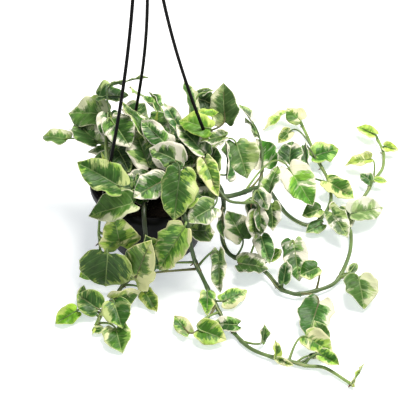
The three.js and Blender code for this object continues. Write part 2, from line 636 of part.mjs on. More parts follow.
// The soil: one body that fills the pot, with a plain hole round each stem
function soilSolid() {
  const floor = FLOOR + CLEARANCE;
  const top = potRadius(SOIL_TOP) - WALL - 2 * CLEARANCE;
  const bottom = BASE_RADIUS - WALL - EDGE_ROUND - 2 * CLEARANCE;
  const heap = [1, 0.65, 0.35, 0].map((share) => [top * share, SOIL_TOP + SOIL_HEAP * (1 - share ** 2)]);
  let solid = turned([[0, floor], [bottom, floor], ...heap], SOIL_SIDES);
  for (const stem of Object.values(STEMS)) {
    const places = stemPlaces(stem, STEM_STEP).slice(0, BURIED_PLACES);
    const points = places.map((at) => routePoint(stem.route, at));
    const first = points[1].clone().sub(points[0]).normalize();
    points[0].addScaledVector(first, -CLEARANCE);
    solid = solid.subtract(bar(points, points.map(() => stem.radii[0] + 2 * CLEARANCE), HOLE_SIDES));
  }
  return solid;
}

// The hanger: each strand is a bowed bar with a clip that grips the pot's lip
function strandBar(index, grown) {
  const points = evenShares(STRAND_STEPS).map((share) => strandPoint(index, share));
  return bar(points, points.map(() => STRAND_RADIUS + grown), STRAND_SIDES);
}

function strandSolid(index) {
  const inside = RIM_RADIUS - LIP_WALL - 3 * CLEARANCE;
  const outside = RIM_RADIUS + CLEARANCE;
  const top = POT_HEIGHT + CLEARANCE;
  const low = POT_HEIGHT - LIP_HEIGHT - CLEARANCE;
  const head = top + 4 * CLIP_WALL;
  const profile = [[inside - CLIP_WALL, top - 3 * CLIP_WALL], [inside, top - 3 * CLIP_WALL], [inside, top],
    [outside, top], [outside, low], [outside - 2 * CLIP_WALL, low],
    [outside - 2 * CLIP_WALL, low - CLIP_WALL], [outside + 1.5 * CLIP_WALL, low - CLIP_WALL],
    [outside + 1.5 * CLIP_WALL, head - CLIP_WALL], [outside + CLIP_WALL / 2, head],
    [inside + CLIP_WALL / 2, head], [inside - CLIP_WALL, top + CLIP_WALL]];
  const shape = new THREE.Shape(profile.map(([r, z]) => new THREE.Vector2(r, z)));
  const clip = new THREE.ExtrudeGeometry(shape, { depth: CLIP_WIDTH, bevelEnabled: false, steps: 1 });
  clip.translate(0, 0, -CLIP_WIDTH / 2);
  clip.rotateX(Math.PI / 2);
  clip.rotateZ(THREE.MathUtils.degToRad(STRAND_ANGLES[index]));
  return joined([strandBar(index, 0), solidOfGeometry(clip)]);
}

function hookSolid() {
  const top = HUB_BOTTOM + HUB_HEIGHT;
  const edge = HUB_RADIUS / 9;
  const hub = turned([[0, HUB_BOTTOM], [HUB_RADIUS - edge, HUB_BOTTOM], [HUB_RADIUS, HUB_BOTTOM + edge],
    [HUB_RADIUS, top - 4 * edge], [HUB_RADIUS - 4 * edge, top], [0, top]], HUB_SIDES);
  const centre = top + HOOK_SHANK + HOOK_RADIUS;
  const shank = [top - HOOK_WIRE, top + HOOK_WIRE].map((z) => new THREE.Vector3(0, 0, z));
  const ring = evenShares(HOOK_STEPS).map((share) => {
    const turn = THREE.MathUtils.degToRad(HOOK_SWEEP * share - 90);
    return new THREE.Vector3(HOOK_RADIUS * Math.cos(turn), 0, centre + HOOK_RADIUS * Math.sin(turn));
  });
  const points = [...shank, ...ring];
  return joined([hub, bar(points, points.map(() => HOOK_WIRE), HOOK_SIDES)]);
}

layLeaves();
const pot = potSolid();
const strands = STRAND_ANGLES.map((_, index) => strandSolid(index));
addMesh("pot", geometryOfSolid(pot), POT_COLOUR, 0.55);
addMesh("soil", geometryOfSolid(soilSolid()), SOIL_COLOUR, 0.95);
strands.forEach((strand, index) => {
  addMesh(`hanger_strand_${index + 1}`, geometryOfSolid(strand), HANGER_COLOUR, 0.5);
});
addMesh("hanger_hook", geometryOfSolid(hookSolid()), HANGER_COLOUR, 0.5);

// The plant: each stem with its leaves is one body, and keeps clear of the hanger and of the stems before it
let swollen = joined(STRAND_ANGLES.map((_, index) => strandBar(index, 2 * CLEARANCE)));
for (const [name, stem] of Object.entries(STEMS)) {
  const pieces = (grown) => joined([stemSolid(stem, grown), ...stem.laid.flatMap((leaf) => [
    petioleSolid(leaf, stem, grown), bladeSolid(leaf, grown)])]);
  let solid = pieces(0).subtract(swollen);
  for (const fixed of [pot, ...strands]) {
    solid = solid.subtract(fixed);
  }
  swollen = swollen.add(pieces(CLEARANCE));
  addMesh(name, geometryOfSolid(wholePiece(solid)), LEAF_COLOURS[stem.leaves[0][5]], 0.5);
}

export default group;
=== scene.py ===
import math
import random

import bmesh
import bpy
from mathutils import Matrix, Vector, kdtree, noise


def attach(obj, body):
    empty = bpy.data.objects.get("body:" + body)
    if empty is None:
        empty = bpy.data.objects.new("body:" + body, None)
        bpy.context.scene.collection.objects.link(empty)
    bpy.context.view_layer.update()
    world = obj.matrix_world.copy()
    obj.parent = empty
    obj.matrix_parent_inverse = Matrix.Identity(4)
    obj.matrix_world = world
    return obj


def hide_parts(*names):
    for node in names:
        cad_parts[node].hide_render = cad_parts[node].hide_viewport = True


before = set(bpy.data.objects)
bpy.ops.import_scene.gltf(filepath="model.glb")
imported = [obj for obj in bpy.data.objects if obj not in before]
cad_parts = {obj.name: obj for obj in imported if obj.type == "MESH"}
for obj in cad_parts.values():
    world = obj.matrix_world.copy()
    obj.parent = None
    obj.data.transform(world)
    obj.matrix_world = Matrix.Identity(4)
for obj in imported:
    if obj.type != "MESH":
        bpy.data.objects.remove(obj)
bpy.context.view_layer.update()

# Studio: the photograph's view from above the front edge of a white table. A large lamp hangs high on the
# right and behind, and a weak one in front. The room and the table glow a little, so that shadows stay faint.
# A lamp has its width in metres, its power in watts and its place.
MM = 0.001
FRAME_PIXELS = 416
FOCAL_PIXELS = 1111
SENSOR_WIDTH = 36
CAMERA_PLACE = (0.0638, -0.991, 0.934)
CAMERA_TILT = 48
ROOM_GLOW = 0.28
LAMPS = {
    "main_lamp": (1, 39.5, (0.55, 0.3, 1.6)),
    "fill_lamp": (1.2, 4.5, (-0.5, -1.1, 1.3)),
}
LAMP_TARGET = Vector((0.06, -0.05, 0.05))


def linear(hex_colour):
    """The linear colour of an sRGB hex value."""
    shares = [int(hex_colour[i:i + 2], 16) / 255 for i in (1, 3, 5)]
    return [c / 12.92 if c <= 0.04045 else ((c + 0.055) / 1.055) ** 2.4 for c in shares] + [1]


def add(tree, kind, inputs=None, **settings):
    """Adds one node with its settings, and the value or the link that each input gets."""
    node = tree.nodes.new("ShaderNode" + kind)
    for name, setting in settings.items():
        setattr(node, name, setting)
    for key, value in (inputs or {}).items():
        if isinstance(value, bpy.types.NodeSocket):
            tree.links.new(value, node.inputs[key])
        else:
            node.inputs[key].default_value = value
    return node


def new_finish(name):
    """An empty material for one of the finishes."""
    finish = bpy.data.materials.new(name)
    finish.use_nodes = True
    finish.node_tree.nodes.clear()
    return finish


scene = bpy.context.scene
scene.view_settings.view_transform = "Standard"
view = bpy.data.cameras.new("view")
view.sensor_width = SENSOR_WIDTH
view.lens = FOCAL_PIXELS / FRAME_PIXELS * SENSOR_WIDTH
camera = bpy.data.objects.new("view", view)
camera.location = CAMERA_PLACE
camera.rotation_euler = (math.radians(CAMERA_TILT), 0, 0)
scene.collection.objects.link(camera)
scene.camera = camera

room = bpy.data.worlds.new("white_room")
room.use_nodes = True
walls = room.node_tree.nodes["Background"]
walls.inputs["Color"].default_value = linear("#fbfdff")
walls.inputs["Strength"].default_value = ROOM_GLOW
scene.world = room

for name, (width, power, place) in LAMPS.items():
    lamp = bpy.data.lights.new(name, "AREA")
    lamp.shape = "DISK"
    lamp.size = width
    lamp.energy = power
    lamp.color = linear("#fffaf2")[:3]
    lamp_stand = bpy.data.objects.new(name, lamp)
    lamp_stand.location = place
    lamp_aim = LAMP_TARGET - lamp_stand.location
    lamp_stand.rotation_euler = lamp_aim.to_track_quat("-Z", "Y").to_euler()
    scene.collection.objects.link(lamp_stand)

# Table: white acrylic, lit from below and faintly uneven, with no texture that the photograph shows. It runs
# on for many metres, so that no view from the side sees its edge, and lies a hair under the pot.
TABLE_REACH = 40
TABLE_GAP = 0.2
TABLE_GLOW = 0.52
CLOUD_SIZE = 40
acrylic = new_finish("lit_white_acrylic")
tree = acrylic.node_tree
cloud = add(tree, "TexNoise", {"Scale": 1 / (CLOUD_SIZE * MM), "Detail": 3})
tone = add(tree, "Mix", {0: cloud.outputs[0], 6: linear("#f1f2f4"), 7: linear("#f5f6f8")}, data_type="RGBA")
skin = add(tree, "BsdfPrincipled", {"Base Color": tone.outputs[2], "Roughness": 0.9,
    "Specular IOR Level": 0.2, "Emission Color": linear("#eef4fb"), "Emission Strength": TABLE_GLOW})
add(tree, "OutputMaterial", {"Surface": skin.outputs[0]})
table = bmesh.new()
table_place = Matrix.Translation((0, 0, -TABLE_GAP * MM))
bmesh.ops.create_grid(table, x_segments=4, y_segments=4, size=TABLE_REACH, matrix=table_place)
floor_mesh = bpy.data.meshes.new("floor")
table.to_mesh(floor_mesh)
table.free()
floor_mesh.materials.append(acrylic)
floor = bpy.data.objects.new("floor", floor_mesh)
scene.collection.objects.link(floor)

# Nursery pot: injection-moulded black polypropylene, 150 mm across a rolled lip that the hanger's clips
# grip. Its wall tapers to a flat foot with a ring of six drain holes. It has stood on benches, so the black
# is dusty. The profile runs up the outside, over the lip and down the inside, as radius and height.
RIM_RADIUS = 75
POT_HEIGHT = 92
LIP_BOTTOM = 81
LIP_INSIDE = RIM_RADIUS - 3.2
NECK_RADIUS = 69
BASE_RADIUS = 54
POT_WALL = 1.8
POT_FLOOR = 4.2
POT_PROFILE = [(0, 0), (BASE_RADIUS - 1.4, 0), (BASE_RADIUS - 0.5, 0.35), (BASE_RADIUS, 1.4),
    (NECK_RADIUS, LIP_BOTTOM), (RIM_RADIUS - 0.7, LIP_BOTTOM + 0.7), (RIM_RADIUS - 0.15, LIP_BOTTOM + 1),
    (RIM_RADIUS, LIP_BOTTOM + 1.6), (RIM_RADIUS, POT_HEIGHT - 1.8), (RIM_RADIUS - 0.25, POT_HEIGHT - 0.9),
    (RIM_RADIUS - 0.8, POT_HEIGHT - 0.3), (RIM_RADIUS - 1.6, POT_HEIGHT), (RIM_RADIUS - 2.4, POT_HEIGHT),
    (RIM_RADIUS - 3, POT_HEIGHT - 0.4), (LIP_INSIDE, POT_HEIGHT - 1.2), (LIP_INSIDE, LIP_BOTTOM + 2.8),
    (LIP_INSIDE - 0.5, LIP_BOTTOM + 1.9), (NECK_RADIUS - POT_WALL, LIP_BOTTOM),
    (BASE_RADIUS - POT_WALL, POT_FLOOR + 1.4), (BASE_RADIUS - 2.2, POT_FLOOR + 0.4),
    (BASE_RADIUS - 3.2, POT_FLOOR), (0, POT_FLOOR)]
DRAIN_HOLES = 6
DRAIN_RADIUS = 3.5
DRAIN_RING = 40
DRILL_LENGTH = 14
POT_CREASE = 30


def turned(profile, steps):
    """A solid spun round the pot's middle from a profile of (radius, height), with its poles closed."""
    shape = bmesh.new()
    corners = [shape.verts.new((r * MM, 0, z * MM)) for r, z in profile]
    sides = [shape.edges.new(pair) for pair in zip(corners, corners[1:])]
    bmesh.ops.spin(shape, geom=corners + sides, cent=(0, 0, 0), axis=(0, 0, 1), dvec=(0, 0, 0),
        angle=2 * math.pi, steps=steps, use_merge=True)
    bmesh.ops.remove_doubles(shape, verts=shape.verts[:], dist=0.01 * MM)
    bmesh.ops.recalc_face_normals(shape, faces=shape.faces[:])
    return shape


def make_piece(name, shape, finishes, slot, *nodes, crease=40):
    """Makes a smooth piece of a shape, in its finishes. It rides on the plant and stands for the nodes."""
    mesh = bpy.data.meshes.new(name)
    shape.to_mesh(mesh)
    shape.free()
    mesh.shade_smooth()
    mesh.set_sharp_from_angle(angle=math.radians(crease))
    for finish in finishes:
        mesh.materials.append(finish)
    piece = bpy.data.objects.new(name, mesh)
    scene.collection.objects.link(piece)
    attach(piece, "root")
    if nodes:
        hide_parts(*nodes)
    return piece


def black_polypropylene(name, deep, dusty, dust_share, roughness, grain):
    """Moulded black plastic: a satin skin with fine moulding grain, faint scuffs and dust in soft patches."""
    dust_size = 24
    scuff_size = 5
    finish = new_finish(name)
    tree = finish.node_tree
    place = add(tree, "TexCoord").outputs["Object"]
    patches = add(tree, "TexNoise", {"Vector": place, "Scale": 1 / (dust_size * MM), "Detail": 5,
        "Roughness": 0.6})
    dust = add(tree, "MapRange", {"Value": patches.outputs[0], "From Min": 0.48, "From Max": 0.75,
        "To Max": dust_share})
    colour = add(tree, "Mix", {0: dust.outputs[0], 6: linear(deep), 7: linear(dusty)}, data_type="RGBA")
    scuffs = add(tree, "TexNoise", {"Vector": place, "Scale": 1 / (scuff_size * MM), "Detail": 6,
        "Roughness": 0.7})
    gloss = add(tree, "MapRange", {"Value": scuffs.outputs[0], "From Min": 0.35, "From Max": 0.7,
        "To Min": roughness - 0.05, "To Max": roughness + 0.09})
    grains = add(tree, "TexNoise", {"Vector": place, "Scale": 1 / (grain * MM), "Detail": 2})
    relief = add(tree, "Bump", {"Height": grains.outputs[0], "Strength": 0.25, "Distance": 0.05 * MM})
    skin = add(tree, "BsdfPrincipled", {"Base Color": colour.outputs[2], "Roughness": gloss.outputs[0],
        "Normal": relief.outputs[0], "IOR": 1.49, "Specular IOR Level": 0.1})
    add(tree, "OutputMaterial", {"Surface": skin.outputs[0]})
    return finish


pot_black = black_polypropylene("dusty_moulded_polypropylene", "#040405", "#1d1c1a", dust_share=0.3,
    roughness=0.42, grain=0.7)
pot_shape = turned(POT_PROFILE, steps=96)
drill_shape = bmesh.new()
for hole in range(DRAIN_HOLES):
    turn = math.radians(360 / DRAIN_HOLES * hole + 30)
    hole_place = (DRAIN_RING * MM * math.cos(turn), DRAIN_RING * MM * math.sin(turn), 0)
    bmesh.ops.create_cone(drill_shape, cap_ends=True, segments=24, radius1=DRAIN_RADIUS * MM,
        radius2=DRAIN_RADIUS * MM, depth=DRILL_LENGTH * MM, matrix=Matrix.Translation(hole_place))
drill_mesh = bpy.data.meshes.new("drill")
drill_shape.to_mesh(drill_mesh)
drill_shape.free()
drill = bpy.data.objects.new("drill", drill_mesh)
scene.collection.objects.link(drill)
pot = make_piece("nursery_pot", pot_shape, [pot_black], "pot_plastic", "pot", crease=POT_CREASE)
drain = pot.modifiers.new("drain", "BOOLEAN")
drain.object = drill
drain.operation = "DIFFERENCE"
drain.solver = "EXACT"
with bpy.context.temp_override(object=pot, active_object=pot, selected_objects=[pot]):
    bpy.ops.object.modifier_apply(modifier="drain")
bpy.data.objects.remove(drill)
pot.data.set_sharp_from_angle(angle=math.radians(POT_CREASE))

# Potting soil: a moist peat mix heaped a little in the middle, with crumbs, bark and white perlite on top.
# The stems grow straight out of it. Under the crown only glimpses of it show.
# The peat is painted near black and the perlite grey. This is painted shade from the crown, laid over their
# own dark brown and white.
SOIL_BOTTOM = 4.55
SOIL_TOP = 78
SOIL_HEAP = 2
SOIL_GAP = 0.7
SOIL_FOOT_RADIUS = 50.1
BED_RINGS = 24
COARSE_LUMP = 9
FINE_LUMP = 3.5
soil_radius = BASE_RADIUS + (NECK_RADIUS - BASE_RADIUS) * SOIL_TOP / LIP_BOTTOM - POT_WALL - SOIL_GAP


def peat(name, dark, light, grit):
    """Crumbly matter: blotched at the size of its crumbs and rough to the light."""
    finish = new_finish(name)
    tree = finish.node_tree
    place = add(tree, "TexCoord").outputs["Object"]
    blotches = add(tree, "TexNoise", {"Vector": place, "Scale": 1 / (grit * MM), "Detail": 6,
        "Roughness": 0.7})
    share = add(tree, "MapRange", {"Value": blotches.outputs[0], "From Min": 0.35, "From Max": 0.68})
    colour = add(tree, "Mix", {0: share.outputs[0], 6: linear(dark), 7: linear(light)}, data_type="RGBA")
    relief = add(tree, "Bump", {"Height": blotches.outputs[0], "Strength": 0.8, "Distance": 0.6 * MM})
    skin = add(tree, "BsdfPrincipled", {"Base Color": colour.outputs[2], "Roughness": 0.95,
        "Specular IOR Level": 0.2, "Normal": relief.outputs[0]})
    add(tree, "OutputMaterial", {"Surface": skin.outputs[0]})
    return finish


def bed_height(share):
    """The height of the heaped soil at a share of the way from its middle, 0, to its edge, 1."""
    return SOIL_TOP + SOIL_HEAP * (1 - share ** 2)


bed_shares = [1 - i / BED_RINGS for i in range(BED_RINGS + 1)]
bed_rings = [(soil_radius * share, bed_height(share)) for share in bed_shares]
soil_shape = turned([(0, SOIL_BOTTOM), (SOIL_FOOT_RADIUS, SOIL_BOTTOM)] + bed_rings, steps=96)
for vertex in soil_shape.verts:
    reach = math.hypot(vertex.co.x, vertex.co.y) / (soil_radius * MM)
    if vertex.co.z > 0.9 * SOIL_TOP * MM and reach < 0.99:
        coarse = noise.noise(vertex.co / (COARSE_LUMP * MM)) * 1.1
        fine = noise.noise(vertex.co / (FINE_LUMP * MM)) * 0.7
        vertex.co.z += (coarse + fine - 0.4) * MM
# The bed's peat is painted darker than its own brown, as shade under the crown.
make_piece("soil_bed", soil_shape, [peat("moist_peat_in_painted_shade", "#0d0906", "#241a13", grit=2.2)],
    "potting_soil", "soil", crease=60)


def scatter(name, finish, count, sizes, stretch, seed):
    """Small pieces of the soil mix, strewn over the bed at every angle."""
    # The vector noise below takes its offsets from the clock, unless it gets a seed too.
    noise.seed_set(seed)
    chance = random.Random(seed)
    shape = bmesh.new()
    for _ in range(count):
        turn = chance.uniform(0, 2 * math.pi)
        away = (soil_radius - 3) * math.sqrt(chance.random())
        size = chance.uniform(*sizes)
        height = bed_height(away / soil_radius) + 0.15 * size
        spin = Matrix.Rotation(chance.uniform(0, 6.28), 4, "Z")
        spin = spin @ Matrix.Rotation(chance.uniform(-0.5, 0.5), 4, "X")
        form = Matrix.Diagonal((stretch * chance.uniform(0.7, 1.2), 1, chance.uniform(0.5, 0.9), 1))
        place = Matrix.Translation((away * math.cos(turn) * MM, away * math.sin(turn) * MM, height * MM))
        bmesh.ops.create_icosphere(shape, subdivisions=1, radius=size * MM, matrix=place @ spin @ form)
    for vertex in shape.verts:
        vertex.co += noise.noise_vector(vertex.co / (1.3 * MM)) * 0.25 * MM
    make_piece(name, shape, [finish], "potting_soil", crease=25)


# The crumbs are painted darker than their own brown, as shade under the crown.
scatter("soil_crumbs", peat("peat_crumbs_in_painted_shade", "#100b08", "#2c2018", grit=1.4),
    count=420, sizes=(0.8, 2.2), stretch=1, seed=11)
scatter("soil_bark", peat("composted_bark", "#21160f", "#463426", grit=3),
    count=46, sizes=(1.1, 2), stretch=2.4, seed=12)
# The perlite is painted grey instead of white, as shade under the crown.
scatter("soil_perlite", peat("perlite_in_painted_shade", "#a9a598", "#d8d4c8", grit=1.2),
    count=30, sizes=(0.7, 1.5), stretch=1, seed=13)

# Hanger: three stiff bars of black polypropylene, moulded with the clip that snaps over the pot's lip.
# They bow outwards from the rim and draw together in a hub, high above the picture. A strand has its angle
# round the rim and how far it bows sideways. The clip's profile is given as radius and height.
STRAND_ANGLES = [223, 113, 15]
STRAND_SWAY = [7, 12, -10]
STRAND_RADIUS = 1.9
STRAND_STEPS = 60
STRAND_FOOT = 97
STRAND_GAP = 0.35
STRAND_CURVE = 1.2
TOP_REACH = 5.2
BOW_REACH = 71.3
HUB_BOTTOM = 468
CLIP_WIDTH = 7
CLIP_ROUND = 0.3
CLIP_PROFILE = [(69.35, 88.15), (70.75, 88.15), (70.75, 92.35), (75.35, 92.35), (75.35, 80.65),
    (72.55, 80.65), (72.55, 79.25), (77.45, 79.25), (77.45, 96.55), (76.05, 97.95), (71.45, 97.95),
    (69.35, 93.75)]


def strand_point(index, share):
    """A place on a strand's middle line, from its foot at the rim, 0, to the hub, 1."""
    turn = math.radians(STRAND_ANGLES[index])
    radius = TOP_REACH + BOW_REACH * (1 - share) ** STRAND_CURVE
    sway = STRAND_SWAY[index] * math.sin(math.pi * share)
    height = STRAND_FOOT + (HUB_BOTTOM - STRAND_GAP - STRAND_FOOT) * share
    return Vector((radius * math.cos(turn) + sway, radius * math.sin(turn), height))


def round_bar(shape, points, radii, sides):
    """Adds a bar along points in millimetres: a sheet rolled round them, drawn to a point at both ends."""
    points = [points[0]] + points + [points[-1]]
    radii = [0] + radii + [0]
    last = len(points) - 1
    sheet = bmesh.ops.create_grid(shape, x_segments=last, y_segments=sides, size=1)["verts"]
    across = (points[2] - points[1]).orthogonal().normalized()
    rings = []
    for i, point in enumerate(points):
        ahead = (points[min(i + 1, last)] - points[max(i - 1, 0)]).normalized()
        across = (across - ahead * across.dot(ahead)).normalized()
        rings.append((point, across, ahead.cross(across)))
    for vertex in sheet:
        i = round((vertex.co.x + 1) / 2 * last)
        turn = math.pi * (vertex.co.y + 1)
        point, across, up = rings[i]
        vertex.co = (point + (across * math.cos(turn) + up * math.sin(turn)) * radii[i]) * MM
    return sheet


hanger_black = black_polypropylene("satin_moulded_polypropylene", "#050506", "#1c1b1a", dust_share=0.2,
    roughness=0.42, grain=0.5)
for index, angle in enumerate(STRAND_ANGLES):
    strand_shape = bmesh.new()
    corners = [strand_shape.verts.new((r * MM, -CLIP_WIDTH / 2 * MM, z * MM)) for r, z in CLIP_PROFILE]
    face = strand_shape.faces.new(corners)
    pushed = bmesh.ops.extrude_face_region(strand_shape, geom=[face])["geom"]
    bmesh.ops.translate(strand_shape, vec=(0, CLIP_WIDTH * MM, 0),
        verts=[part for part in pushed if isinstance(part, bmesh.types.BMVert)])
    bmesh.ops.recalc_face_normals(strand_shape, faces=strand_shape.faces[:])
    bmesh.ops.bevel(strand_shape, geom=strand_shape.edges[:], offset=CLIP_ROUND * MM,
        offset_type="OFFSET", segments=2, profile=0.5, affect="EDGES", material=-1)
    bmesh.ops.rotate(strand_shape, cent=(0, 0, 0), verts=strand_shape.verts[:],
        matrix=Matrix.Rotation(math.radians(angle), 3, "Z"))
    line = [strand_point(index, i / STRAND_STEPS) for i in range(STRAND_STEPS + 1)]
    round_bar(strand_shape, line, [STRAND_RADIUS] * len(line), sides=16)
    bmesh.ops.remove_doubles(strand_shape, verts=strand_shape.verts[:], dist=0.01 * MM)
    bmesh.ops.recalc_face_normals(strand_shape, faces=strand_shape.faces[:])
    make_piece(f"strand_{index + 1}", strand_shape, [hanger_black], "hanger_plastic",
        f"hanger_strand_{index + 1}")

# Hub and hook: one moulding of the same plastic, which joins the three strands and ends in an open hook
# for a ceiling hook or a rail. The photograph stops below it, so it has the common form. The hub's profile
# is given as radius and height above its underside.
HUB_PROFILE = [(0, 0), (8, 0), (8.7, 0.3), (9, 1), (9, 7), (8.6, 8), (5.6, 10.6), (5, 11), (0, 11)]
SHANK_HEIGHTS = [476.4, 479, 481.6, 484.5]
HOOK_HEIGHT = 500
HOOK_REACH = 13
HOOK_TURN = 250
HOOK_STEPS = 60
HOOK_RADIUS = 2.6
hook_shape = turned([(r, HUB_BOTTOM + z) for r, z in HUB_PROFILE], steps=48)
hook_line = [Vector((0, 0, height)) for height in SHANK_HEIGHTS]
for step in range(HOOK_STEPS + 1):
    turn = math.radians(HOOK_TURN * step / HOOK_STEPS - 90)
    hook_line.append(Vector((HOOK_REACH * math.cos(turn), 0, HOOK_HEIGHT + HOOK_REACH * math.sin(turn))))
round_bar(hook_shape, hook_line, [HOOK_RADIUS] * len(hook_line), sides=20)
bmesh.ops.remove_doubles(hook_shape, verts=hook_shape.verts[:], dist=0.01 * MM)
bmesh.ops.recalc_face_normals(hook_shape, faces=hook_shape.faces[:])
make_piece("hub_and_hook", hook_shape, [hanger_black], "hanger_plastic", "hanger_hook")
